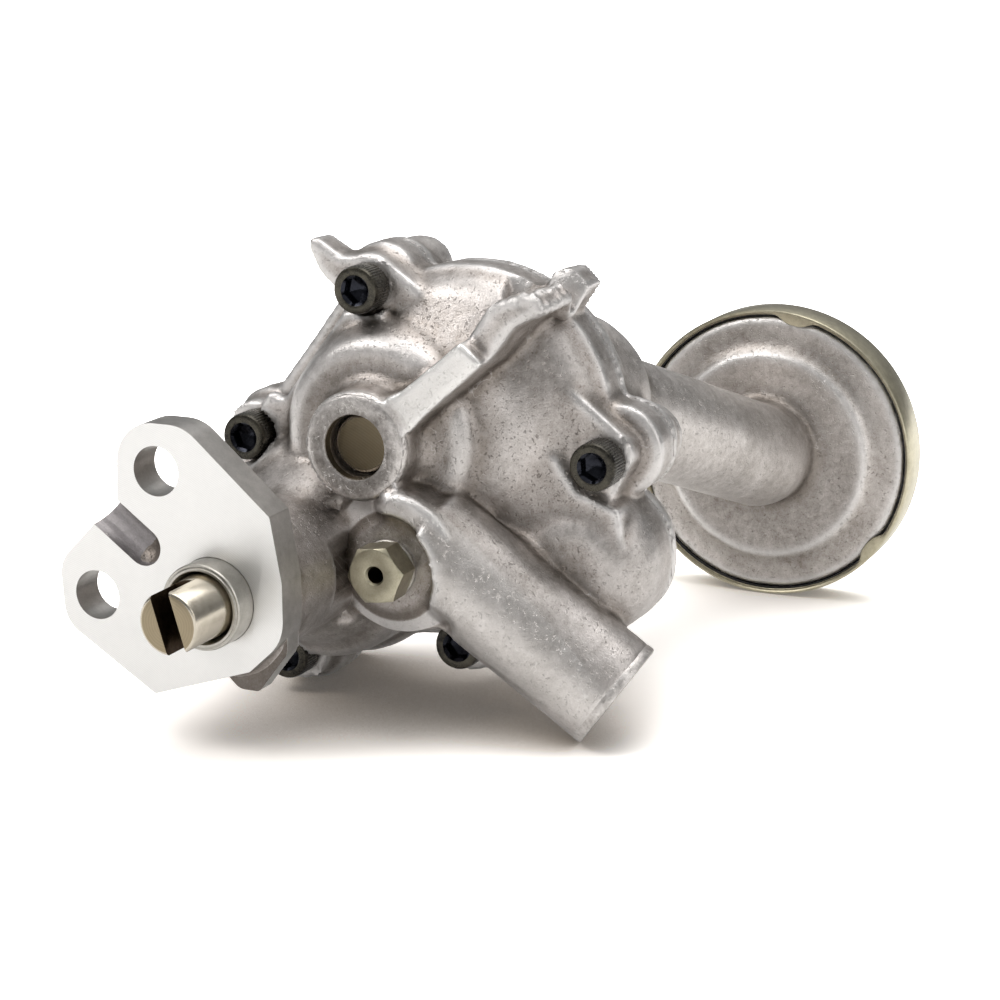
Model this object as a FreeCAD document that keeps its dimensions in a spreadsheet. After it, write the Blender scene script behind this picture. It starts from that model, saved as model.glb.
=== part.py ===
"""Engine oil pump: a spur gear pump with a slotted drive shaft, a two-bolt mounting
flange, a delivery socket, an oil jet plug, a relief valve and a cast suction arm that
carries the round strainer.  Millimetres.

The frame: the origin is on the drive shaft's axis, in the mounting flange's face.
+Y runs back through the pump to the cover, +Z is up as the pump lies on a bench.
"""
import FreeCAD, Part
import math
import os
import re
from FreeCAD import Placement, Rotation, Vector

document = FreeCAD.newDocument("oil_pump")
sheet = document.addObject("Spreadsheet::Sheet", "Sizes")

# Driving dimensions: name, millimetres or degrees or a count, and what it measures
SIZES = (
    ("shaft_diameter", 13.0, "drive shaft"),
    ("drive_end_diameter", 12.6, "slotted end of the drive shaft"),
    ("shaft_overhang", 17.3, "drive shaft's end, in front of the flange face"),
    ("shaft_rear", 79.0, "drive shaft's rear end"),
    ("slot_width", 4.2, "driving slot across the shaft's end"),
    ("slot_depth", 9.0, "depth of the driving slot"),
    ("slot_lean", 17.0, "degrees that the slot leans from upright at rest"),
    ("running_fit", 0.03, "radial clearance of every turning or sliding fit"),
    ("bush_diameter", 16.0, "both shaft bushes, in the castings"),
    ("pilot_diameter", 17.3, "front bush, in front of the flange face"),
    ("bush_proud", 5.7, "front bush, in front of the flange face"),
    ("bush_rear", 20.0, "rear end of the front bush"),
    ("key_width", 4.0, "key between shaft and gear"),
    ("keyway_depth", 1.6, "keyway in the shaft"),
    ("circlip_place", 0.8, "circlip, behind the gear's front"),
    ("circlip_thickness", 1.2, "circlip that holds the gear"),
    ("circlip_radius", 8.6, "circlip, outside"),
    ("circlip_groove_depth", 0.6, "groove for the circlip"),
    ("shaft_relief", 1.5, "radial room round the shaft between its two bushes"),
    ("flange_thickness", 8.0, "mounting flange"),
    ("mount_hole", 10.0, "diameter of the two mounting holes"),
    ("mount_wall", 3.5, "metal round a mounting hole"),
    ("upper_hole_x", -12.3, "upper mounting hole, across"),
    ("upper_hole_z", 24.6, "upper mounting hole, up"),
    ("side_hole_x", -26.8, "side mounting hole, across"),
    ("side_hole_z", -2.0, "side mounting hole, up"),
    ("groove_width", 7.7, "half-round oil groove in the flange face"),
    ("neck_radius", 14.6, "neck round the shaft behind the flange"),
    ("gear_module", 3.0, "gear teeth"),
    ("gear_teeth", 10, "teeth on each gear"),
    ("pressure_angle", 25.0, "gear teeth"),
    ("tip_shortening", 0.2, "taken off the tips"),
    ("backlash", 0.16, "play between the teeth at the pitch circle"),
    ("tip_clearance", 0.1, "gear tip to chamber wall"),
    ("side_clearance", 0.05, "gear face to chamber wall"),
    ("idler_angle", 58.9, "from +X up to the idler's axis, seen from the front"),
    ("chamber_front", 43.0, "front wall of the gear chamber"),
    ("joint_plane", 62.0, "where body and cover meet"),
    ("chamber_wall", 5.0, "metal round the gear chamber"),
    ("idler_shaft_diameter", 12.0, "fixed axle of the idler gear"),
    ("idler_bush_wall", 1.5, "bush pressed in the idler gear"),
    ("idler_boss_radius", 11.3, "boss round the idler axle"),
    ("idler_boss_face", 29.6, "machined front of that boss"),
    ("idler_mouth_radius", 6.6, "open mouth in front of the axle"),
    ("idler_recess", 3.6, "axle's end, behind the boss's face"),
    ("screw_diameter", 6.0, "cover screws"),
    ("screw_head_diameter", 10.0, "cover screws"),
    ("screw_head_height", 6.0, "cover screws"),
    ("screw_length", 24.0, "cover screws, under the head"),
    ("socket_across", 5.0, "hexagon socket of a cover screw"),
    ("hole_clearance", 0.3, "radial room round a screw in the body"),
    ("lug_radius", 8.3, "screw lugs"),
    ("screw_seat", 48.0, "plane under the screw heads"),
    ("joint_flange", 8.0, "thickness of each casting's edge at the joint"),
    ("dowel_diameter", 6.0, "dowel pins"),
    ("dowel_length", 14.0, "dowel pins"),
    ("socket_radius", 12.0, "delivery socket, outside"),
    ("socket_bore", 16.0, "machined seat in the delivery socket"),
    ("socket_bore_depth", 24.0, "machined seat in the delivery socket"),
    ("gallery", 9.0, "oil gallery behind that seat"),
    ("socket_end_x", 67.6, "centre of the delivery socket's end, across"),
    ("socket_end_y", 42.2, "the same, back"),
    ("floor_depth", 33.0, "bench surface, below the shaft's axis"),
    ("socket_length", 51.0, "delivery socket along its axis"),
    ("socket_fall", 36.0, "degrees that the socket points below the horizontal"),
    ("socket_back", 7.0, "degrees that it leans back"),
    ("jet_x", 22.2, "oil jet plug, across"),
    ("jet_z", 1.1, "oil jet plug, up"),
    ("jet_seat", 31.6, "floor of the jet plug's pocket"),
    ("jet_pocket_radius", 11.6, "round pocket"),
    ("jet_across", 11.0, "hexagon of the jet plug"),
    ("jet_height", 6.0, "hexagon of the jet plug"),
    ("jet_thread", 8.0, "jet plug's thread"),
    ("jet_thread_length", 5.0, "jet plug's thread"),
    ("jet_hole", 3.4, "hole in the jet plug"),
    ("washer_thickness", 1.0, "sealing washers"),
    ("relief_x", 47.0, "relief valve axis, across"),
    ("relief_z", -1.0, "relief valve axis, up"),
    ("right_lobe_x", 56.0, "centre of the casting's rounded right end, across"),
    ("right_lobe_z", 1.0, "the same, up"),
    ("right_lobe_radius", 16.0, "casting's rounded right end"),
    ("piston_diameter", 14.0, "relief valve piston"),
    ("piston_length", 14.0, "relief valve piston"),
    ("piston_seat", 51.0, "front of the relief valve piston, closed"),
    ("piston_wall", 2.0, "relief valve piston"),
    ("spring_wire", 1.6, "relief valve spring"),
    ("spring_turns", 5, "relief valve spring"),
    ("cap_seat", 80.0, "cover face under the relief valve's cap"),
    ("cap_thread", 18.0, "relief valve's cap"),
    ("cap_across", 22.0, "hexagon of the relief valve's cap"),
    ("cap_height", 8.0, "hexagon of the relief valve's cap"),
    ("suction_radius", 11.0, "suction chamber in the dome"),
    ("arm_radius", 12.2, "suction arm, outside"),
    ("arm_bore", 17.0, "suction arm, bore"),
    ("arm_root_x", 44.5, "suction arm at the cover, across"),
    ("arm_root_y", 78.0, "suction arm at the cover, back"),
    ("arm_root_z", 28.5, "suction arm at the cover, up"),
    ("bell_x", 61.0, "strainer's centre, across"),
    ("bell_front", 154.0, "front of the strainer bell"),
    ("bell_depth", 10.0, "strainer bell, front to back"),
    ("bell_radius", 33.3, "strainer bell"),
    ("bell_wall", 2.6, "strainer bell"),
    ("step_radius", 24.6, "raised middle of the strainer bell"),
    ("step_height", 1.6, "raised middle of the strainer bell"),
    ("seal_thickness", 0.6, "rubber ring between bell and retainer"),
    ("retainer_wall", 0.9, "sheet-metal strainer retainer"),
    ("screen_thickness", 1.0, "strainer screen"),
)

# Cover screws seen from the front: across and up
SCREW_PLACES = ((9.7, 55.0), (61.6, 23.2), (-17.0, 22.2), (32.1, -17.4), (-8.0, -24.7))
# Dowel pins: across and up
DOWEL_PLACES = ((-20.8, 11.0), (53.8, 36.0))

for row, (name, number, meaning) in enumerate(SIZES, start=1):
    sheet.set("A%d" % row, name)
    sheet.set("B%d" % row, str(number))
    sheet.setAlias("B%d" % row, name)
    sheet.set("C%d" % row, meaning)
document.recompute()

WORD = re.compile(r"[a-z][a-z_]+")


def formula(text):
    """An expression over the sheet: each word in it is a named size."""
    return WORD.sub(lambda found: "Sizes." + found.group(0), str(text))


def value(text):
    """What an expression over the sheet comes to, as a number."""
    return float(sheet.evalExpression(formula(text)))


def new_body(name):
    """An empty body that becomes one node."""
    body = document.addObject("PartDesign::Body", name)
    body.Label = name
    return body


def origin_feature(body, role):
    """A plane or axis of the body's own origin."""
    return [feature for feature in body.Origin.OriginFeatures if feature.Role == role][0]


def sketch_on(body, name, plane, offset, geometry):
    """A sketch on one of the body's origin planes, moved by offset, with the geometry."""
    sketch = body.newObject("Sketcher::SketchObject", name)
    sketch.AttachmentSupport = (origin_feature(body, plane), "")
    sketch.MapMode = "FlatFace"
    sketch.AttachmentOffset = Placement(offset, Rotation())
    sketch.addGeometry(geometry)
    return sketch


def rounded_outline(points):
    """A closed outline through (x, y, corner radius) points, its corners as arcs."""
    corners = []
    count = len(points)
    for index, (x, y, radius) in enumerate(points):
        here = Vector(x, y, 0)
        before = Vector(*points[index - 1][:2], 0) - here
        after = Vector(*points[(index + 1) % count][:2], 0) - here
        before.normalize()
        after.normalize()
        if radius == 0:
            corners.append((here, here, None))
            continue
        half = before.getAngle(after) / 2
        reach = radius / math.tan(half)
        middle = before + after
        middle.normalize()
        top = here + middle * (radius / math.sin(half) - radius)
        corners.append((here + before * reach, here + after * reach, top))
    edges = []
    for index, (start, end, top) in enumerate(corners):
        if top is not None:
            edges.append(Part.Arc(start, top, end))
        following = corners[(index + 1) % count][0]
        if (following - end).Length > 1e-6:
            edges.append(Part.LineSegment(end, following))
    return edges


def pad(body, name, outline, front, length):
    """An outline in X and Z, pushed back from Y = front."""
    sketch = sketch_on(body, name + "_sketch", "XZ_Plane", Vector(0, 0, -value(front)), outline)
    feature = body.newObject("PartDesign::Pad", name)
    feature.Profile = sketch
    feature.Reversed = True
    feature.setExpression("Length", formula(length))
    return feature


def pocket(body, name, outline, front, length):
    """An outline in X and Z, cut back from Y = front."""
    sketch = sketch_on(body, name + "_sketch", "XZ_Plane", Vector(0, 0, -value(front)), outline)
    feature = body.newObject("PartDesign::Pocket", name)
    feature.Profile = sketch
    feature.Reversed = False
    feature.setExpression("Length", formula(length))
    return feature


def turned(body, name, place, profile, cut=False):
    """A profile of (radius, Y, corner radius) turned about the line along Y at place."""
    points = [(value(radius), value(along), value(corner)) for radius, along, corner in profile]
    offset = Vector(place[0], 0, place[1])
    sketch = sketch_on(body, name + "_sketch", "XY_Plane", offset, rounded_outline(points))
    kind = "PartDesign::Groove" if cut else "PartDesign::Revolution"
    feature = body.newObject(kind, name)
    feature.Profile = sketch
    feature.ReferenceAxis = (sketch, ["V_Axis"])
    feature.Angle = 360
    return feature


def post(front, rear, radius, front_corner=0, rear_corner=0):
    """The profile of a round post or hole from one Y to another, for turned()."""
    return ((0, front, 0), (radius, front, front_corner), (radius, rear, rear_corner), (0, rear, 0))


def cylinder(body, name, radius, start, direction, length, cut=False):
    """A cylinder from start along direction, added to the body or cut from it."""
    kind = "PartDesign::SubtractiveCylinder" if cut else "PartDesign::AdditiveCylinder"
    feature = body.newObject(kind, name)
    feature.setExpression("Radius", formula(radius))
    feature.setExpression("Height", formula(length))
    feature.Placement = Placement(start, Rotation(Vector(0, 0, 1), direction))
    return feature


def ball(body, name, radius, centre):
    """A ball added to the body."""
    feature = body.newObject("PartDesign::AdditiveSphere", name)
    feature.setExpression("Radius", formula(radius))
    feature.Placement = Placement(centre, Rotation())
    return feature


def box(body, name, sizes, corner, cut=False):
    """A box with its low corner given, added to the body or cut from it."""
    kind = "PartDesign::SubtractiveBox" if cut else "PartDesign::AdditiveBox"
    feature = body.newObject(kind, name)
    for side, size in zip(("Length", "Width", "Height"), sizes):
        feature.setExpression(side, formula(size))
    feature.Placement = Placement(corner, Rotation())
    return feature


def web_outline(first, first_radius, second, second_radius):
    """The straight-sided web that wraps two circles, without their round ends."""
    run = Vector(second[0] - first[0], second[1] - first[1], 0)
    lean = math.asin((first_radius - second_radius) / run.Length)
    along = math.atan2(run.y, run.x)
    corners = []
    for side in (1, -1):
        turn = along + side * (math.pi / 2 - lean)
        outward = Vector(math.cos(turn), math.sin(turn), 0)
        ends = [Vector(*first, 0) + outward * first_radius,
                Vector(*second, 0) + outward * second_radius]
        corners += ends if side == 1 else ends[::-1]
    return rounded_outline([(corner.x, corner.y, 0) for corner in corners])


def hexagon(across, place, turn=0.0):
    """A hexagon by its width across flats, round a point."""
    radius = across / math.sqrt(3)
    angles = [math.radians(turn + 60 * index) for index in range(6)]
    return rounded_outline([(place[0] + radius * math.cos(angle),
                             place[1] + radius * math.sin(angle), 0) for angle in angles])


# Places worked out from the driving dimensions
BACKWARD = Vector(0, 1, 0)
DRIVE = (0.0, 0.0)
centre_distance = value("gear_module * gear_teeth")
idler_turn = math.radians(value("idler_angle"))
IDLER = (centre_distance * math.cos(idler_turn), centre_distance * math.sin(idler_turn))
pitch_radius = centre_distance / 2
tip_radius = pitch_radius + value("gear_module - tip_shortening")
root_radius = pitch_radius - 1.25 * value("gear_module")
chamber_radius = tip_radius + value("tip_clearance")
lobe_radius = chamber_radius + value("chamber_wall")
MESH = (IDLER[0] / 2, IDLER[1] / 2)
SIDEWAYS = (math.sin(idler_turn), -math.cos(idler_turn))
UPPER_HOLE = (value("upper_hole_x"), value("upper_hole_z"))
SIDE_HOLE = (value("side_hole_x"), value("side_hole_z"))
RELIEF = (value("relief_x"), value("relief_z"))
JET = (value("jet_x"), value("jet_z"))
RIGHT_LOBE = (value("right_lobe_x"), value("right_lobe_z"))

# The delivery socket's axis: its end's lowest point lies on the bench
fall = math.radians(value("socket_fall"))
lean_back = math.radians(value("socket_back"))
SOCKET_RUN = Vector(math.cos(fall) * math.cos(lean_back), math.cos(fall) * math.sin(lean_back),
                    -math.sin(fall))
SOCKET_END = Vector(value("socket_end_x"), value("socket_end_y"),
                    value("socket_radius") * math.cos(fall) - value("floor_depth"))
SOCKET_START = SOCKET_END - SOCKET_RUN * value("socket_length")

# The strainer's axis: its retainer touches the bench
RIM = "(bell_radius + seal_thickness + retainer_wall)"
BELL = (value("bell_x"), value(RIM + " - floor_depth"))
ARM_ROOT = Vector(value("arm_root_x"), value("arm_root_y"), value("arm_root_z"))
ARM_END = Vector(BELL[0], value("bell_front - 6"), BELL[1] + 1.5)
DOME = (29.5, 28.5)
dome_radius = 31.5
SUCTION = (DOME[0] + 8.0, DOME[1] + 12.0)


def on_mesh_side(distance):
    """A place beside the tooth mesh, to the delivery side when distance is positive."""
    return (MESH[0] + SIDEWAYS[0] * distance, MESH[1] + SIDEWAYS[1] * distance)


def circle(place, radius):
    """A circle in a sketch, as a list."""
    return [Part.Circle(Vector(*place, 0), Vector(0, 0, 1), radius)]


def circles(places, radius):
    """Equal circles at several places in a sketch."""
    return [Part.Circle(Vector(*place, 0), Vector(0, 0, 1), value(radius)) for place in places]


def sector(place, inner, outer, first, last):
    """A stretch of a ring between two angles in degrees."""
    def at(radius, angle):
        turn = math.radians(angle)
        return Vector(place[0] + radius * math.cos(turn), place[1] + radius * math.sin(turn), 0)

    middle = (first + last) / 2
    return [
        Part.Arc(at(outer, first), at(outer, middle), at(outer, last)),
        Part.LineSegment(at(outer, last), at(inner, last)),
        Part.Arc(at(inner, last), at(inner, middle), at(inner, first)),
        Part.LineSegment(at(inner, first), at(outer, first)),
    ]


# Outline of the joint flange, shared by body and cover

def merged_outline(rounds, webs):
    """The outer outline of several circles and webs laid over each other."""
    loops = [circle(*pair) for pair in rounds] + [web_outline(*web) for web in webs]
    slabs = []
    for loop in loops:
        face = Part.Face(Part.Wire([side.toShape() for side in loop]))
        slabs.append(face.extrude(Vector(0, 0, 1)))
    merged = slabs[0].fuse(slabs[1:]).removeSplitter()
    largest = max(merged.Faces, key=lambda face: face.Area)
    outline = []
    for edge in largest.OuterWire.OrderedEdges:
        start = edge.valueAt(edge.FirstParameter)
        middle = edge.valueAt((edge.FirstParameter + edge.LastParameter) / 2)
        end = edge.valueAt(edge.LastParameter)
        if isinstance(edge.Curve, Part.Circle):
            outline.append(Part.Arc(start, middle, end))
        else:
            outline.append(Part.LineSegment(start, end))
    return outline


def joint_outline(inset=0.0):
    """The common edge of both castings: lobes, screw lugs and the webs between them."""
    lug = value("lug_radius") - inset
    drive = lobe_radius + 3 - inset
    idler = lobe_radius + 2 - inset
    dome = dome_radius - inset
    right_end = value("right_lobe_radius") - inset
    upper, right, left, lower, foot = SCREW_PLACES
    rounds = [(DRIVE, drive), (IDLER, idler), (DOME, dome), (RIGHT_LOBE, right_end)]
    rounds += [(place, lug) for place in (upper, left, lower, foot)]
    rounds += [((right[0] + 0.6, right[1] + 1.0), lug + 1.2),
               (DOWEL_PLACES[0], value("dowel_diameter") + 0.3 - inset)]
    webs = (
        (DRIVE, drive, IDLER, idler),
        (left, lug, DRIVE, drive - 9),
        (left, lug - 4.5, upper, lug - 3.0),
        (upper, lug, DOME, dome - 24),
        (DOME, dome - 12, right, lug - 0.5),
        (RIGHT_LOBE, right_end, DRIVE, drive - 4),
        (lower, lug, DOME, drive - 11),
        (DOME, dome - 8, RIGHT_LOBE, right_end - 2),
    )
    return merged_outline(rounds, webs)


# Pump body

def mounting_flange(body):
    """The machined two-bolt plate with its bright face at Y = 0."""
    edge = value("mount_hole / 2 + mount_wall")
    outline = rounded_outline([
        (UPPER_HOLE[0] - edge, UPPER_HOLE[1] + edge + 1.0, edge),
        (UPPER_HOLE[0] + edge * 0.75, UPPER_HOLE[1] + edge + 1.0, edge),
        (12.6, 18.0, 0.8),
        (15.0, 5.0, 6.0),
        (15.0, -6.5, 9.0),
        (7.4, -13.6, 0.8),
        (-14.2, -20.9, 1.0),
        (SIDE_HOLE[0] - edge * 0.9, SIDE_HOLE[1] - edge * 0.75, edge * 0.8),
        (SIDE_HOLE[0] - edge, SIDE_HOLE[1] + edge * 0.7, edge * 0.8),
        (-26.7, 12.8, 0.5),
        (-21.4, 18.2, 0.5),
    ])
    pad(body, "flange_plate", outline, "0", "flange_thickness")


def make_body():
    """The front casting: flange, neck, gear housing, bosses, delivery socket and lugs."""
    body = new_body("pump_body")
    mounting_flange(body)
    # the plate's back stands lower at the right, as a cast foot
    pad(body, "flange_foot", rounded_outline([(14.0, 0.0, 0), (14.0, -10.0, 3.0), (7.5, -18.6, 1.5),
                                              (3.0, -18.6, 3.0), (-6.0, -10.0, 0), (-6.0, 0.0, 0)]),
        "3.5", "flange_thickness - 2.5")
    turned(body, "neck", DRIVE, (
        (0, 6, 0), ("neck_radius", 6, 0), ("neck_radius", 30, 5), (lobe_radius - 2, 40, 0), (0, 40, 0)))
    turned(body, "drive_lobe", DRIVE, post("chamber_front - 4", "joint_plane", lobe_radius + 1, 6))
    turned(body, "idler_lobe", IDLER, (
        (0, "idler_boss_face", 0), ("idler_boss_radius", "idler_boss_face", 0.6),
        ("idler_boss_radius", 39, 3.5), (lobe_radius - 3, 38.2, 4), (lobe_radius, 46, 6),
        (lobe_radius, "joint_plane", 0), (0, "joint_plane", 0)))
    pad(body, "lobe_web", web_outline(DRIVE, lobe_radius + 1, IDLER, lobe_radius),
        "chamber_front + 5", "joint_plane - chamber_front - 5")
    neck_side = value("neck_radius - 1")
    pad(body, "neck_web", web_outline(DRIVE, neck_side, IDLER, value("idler_boss_radius - 1")),
        "chamber_front - 4", "10")
    turned(body, "dome", DOME, ((0, 43, 0), (15, 43, 14), (dome_radius - 2, 50, 9),
                                (dome_radius, "joint_plane", 0), (0, "joint_plane", 0)))
    turned(body, "right_lobe", RIGHT_LOBE, post("chamber_front + 1", "joint_plane", "right_lobe_radius", 10))
    gallery_start = Vector(4, value("joint_plane - 3"), RIGHT_LOBE[1] - 2)
    cylinder(body, "delivery_lobe", "right_lobe_radius", gallery_start, Vector(1, 0, 0), RIGHT_LOBE[0] - 6)
    pad(body, "left_web", rounded_outline([
        (-18.4, 17.7, 0), (5.0, 49.8, 0), (14.0, 50.0, 0), (18.0, 36.0, 0), (4.0, 8.0, 0), (-14.0, 8.0, 0)]),
        "screw_seat - 2.5", "joint_plane - screw_seat + 2.5")
    pad(body, "right_lug", rounded_outline([
        (44.0, 34.0, 0), (54.4, 37.3, 0.6), (67.0, 27.9, 2.0), (68.3, 24.4, 1.5), (62.8, 14.4, 2.5),
        (52.0, 12.0, 0)]), "screw_seat", "joint_plane - screw_seat")
    pad(body, "upper_lug", rounded_outline([
        (9.7, 61.6, 0), (13.7, 60.5, 2.0), (20.5, 55.6, 2.0), (27.0, 48.0, 0), (12.0, 42.0, 0),
        (3.0, 50.0, 0)]), "screw_seat", "joint_plane - screw_seat")
    pad(body, "joint_edge", joint_outline(), "joint_plane - joint_flange", "joint_flange")
    plain_lugs = [SCREW_PLACES[index] for index in (0, 2, 3, 4)]
    pad(body, "screw_lugs", circles(plain_lugs, "lug_radius - 1.5"), "screw_seat",
        "joint_plane - screw_seat")
    # the fin on the upper lug
    upper = SCREW_PLACES[0]
    pad(body, "fin", rounded_outline([
        (upper[0] - 15.0, upper[1] + 9.6, 0.8), (upper[0] - 12.0, upper[1] + 9.2, 2.0),
        (upper[0] - 6.0, upper[1] + 5.5, 5.0), (upper[0] + 2.0, upper[1] + 6.8, 2.0),
        (upper[0] - 2.0, upper[1], 0), (upper[0] - 7.0, upper[1] + 1.0, 0)]), "screw_seat", "joint_flange")
    pad(body, "ear", rounded_outline([
        (46.0, 52.0, 0), (47.5, 59.6, 2.0), (52.0, 60.6, 1.5), (55.6, 57.0, 0.8), (51.0, 50.0, 0)]),
        "joint_plane - joint_flange", "joint_flange")
    # the cast rib from the idler boss to the dome, its front machined with the boss
    pad(body, "rib", rounded_outline([
        (20.0, 35.2, 0), (25.9, 37.9, 0.4), (38.3, 48.6, 0.4), (43.4, 44.6, 0.4), (30.6, 33.0, 0.4),
        (25.0, 27.0, 0)]), "idler_boss_face + 0.6", "20")
    pad(body, "rib_block", rounded_outline([
        (36.9, 46.4, 0.4), (43.0, 55.6, 0.4), (52.0, 58.6, 0.8), (55.4, 55.2, 0.8), (48.4, 51.4, 0.4),
        (42.8, 43.9, 0.4)]), "idler_boss_face + 4", "24")
    cylinder(body, "delivery_socket", "socket_radius", SOCKET_START, SOCKET_RUN, "socket_length")
    jet_boss = post("jet_seat - 3.6", "chamber_front + 1", 15.2, 1.5)
    turned(body, "jet_boss", (JET[0] + 1.3, JET[1] + 1.4), jet_boss)
    # the joint face is milled flat
    far = 150.0
    pocket(body, "joint_face", rounded_outline([
        (-far, -far, 0), (far, -far, 0), (far, far, 0), (-far, far, 0)]), "joint_plane", "30")

    # gear chamber, pockets, bores and holes
    turned(body, "drive_chamber", DRIVE, post("chamber_front", "joint_plane + 1", chamber_radius), True)
    turned(body, "idler_chamber", IDLER, post("chamber_front", "joint_plane + 1", chamber_radius), True)
    turned(body, "delivery_pocket", on_mesh_side(20.5),
           post("chamber_front - 5", "joint_plane + 1", 10.0, 2), True)
    turned(body, "suction_pocket", on_mesh_side(-17.5),
           post("chamber_front + 3", "joint_plane + 1", 8.5, 2), True)
    cylinder(body, "socket_seat", "socket_bore / 2", SOCKET_END + SOCKET_RUN, -SOCKET_RUN,
             "socket_bore_depth + 1", True)
    cylinder(body, "socket_gallery", "gallery / 2", SOCKET_END, -SOCKET_RUN, "socket_length - 3", True)
    # the suction side: a chamber in the dome and a groove round the idler gear to the mesh
    turned(body, "suction_chamber", SUCTION,
           post("chamber_front + 7", "joint_plane + 1", "suction_radius", 6), True)
    pocket(body, "suction_groove", sector(IDLER, chamber_radius - 0.4, chamber_radius + 3.2, 36, 205),
           "joint_plane - 5", "6")
    turned(body, "front_bush_bore", DRIVE, post("-1", "bush_rear", "bush_diameter / 2"), True)
    # the bore's lead is countersunk to just past the bush's proud ring
    lead = "pilot_diameter / 2 + 0.1"
    depth = "(pilot_diameter - bush_diameter) / 2 + 0.1"
    turned(body, "front_bush_lead", DRIVE, (
        (0, "-1", 0), (lead, "-1", 0), (lead, 0, 0), ("bush_diameter / 2", depth, 0), (0, depth, 0)), True)
    turned(body, "shaft_room", DRIVE,
           post("bush_rear - 1", "chamber_front + 1", "shaft_diameter / 2 + shaft_relief"), True)
    turned(body, "idler_mouth", IDLER,
           post("idler_boss_face - 1", "idler_boss_face + idler_recess + 1", "idler_mouth_radius"), True)
    turned(body, "idler_axle_bore", IDLER,
           post("idler_boss_face", "chamber_front + 1", "idler_shaft_diameter / 2"), True)
    turned(body, "jet_pocket", JET, post("jet_seat - 8", "jet_seat", "jet_pocket_radius"), True)
    turned(body, "jet_thread_hole", JET, post("jet_seat - 1", "jet_seat + 7", "jet_thread / 2"), True)
    turned(body, "relief_bore", RELIEF,
           post("piston_seat", "joint_plane + 1", "piston_diameter / 2 + running_fit"), True)
    turned(body, "relief_feed", RELIEF,
           post("socket_end_y", "piston_seat + 1", "piston_diameter / 2 - 2"), True)
    cylinder(body, "relief_spill", "2.2", Vector(RELIEF[0], value("piston_seat + 3.5"), RELIEF[1]),
             Vector(0, 0, -1), "24", True)
    pocket(body, "mounting_holes", circles((UPPER_HOLE, SIDE_HOLE), "mount_hole / 2"), "-1",
           "flange_thickness + 4")
    pocket(body, "screw_holes", circles(SCREW_PLACES, "screw_diameter / 2 + hole_clearance"),
           "screw_seat - 1", "joint_plane - screw_seat + 2")
    pocket(body, "screw_seats", circles(SCREW_PLACES, "screw_head_diameter / 2 + 0.8"),
           "screw_seat - 12", "12")
    pocket(body, "dowel_holes", circles(DOWEL_PLACES, "dowel_diameter / 2"),
           "joint_plane - dowel_length / 2", "dowel_length / 2 + 1")
    # the half-round groove runs from a ball end out through the plate's edge
    groove_radius = value("groove_width / 2")
    groove_end = Vector(-15.7, 0.0, 9.1)
    groove_run = Vector(-0.81, 0, 0.59)
    cylinder(body, "flange_groove", "groove_width / 2", groove_end, groove_run, "20", True)
    groove_ball = body.newObject("PartDesign::SubtractiveSphere", "flange_groove_end")
    groove_ball.Radius = groove_radius
    groove_ball.Placement = Placement(groove_end, Rotation())
    return body


# Cover with suction arm and strainer bell

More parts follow.
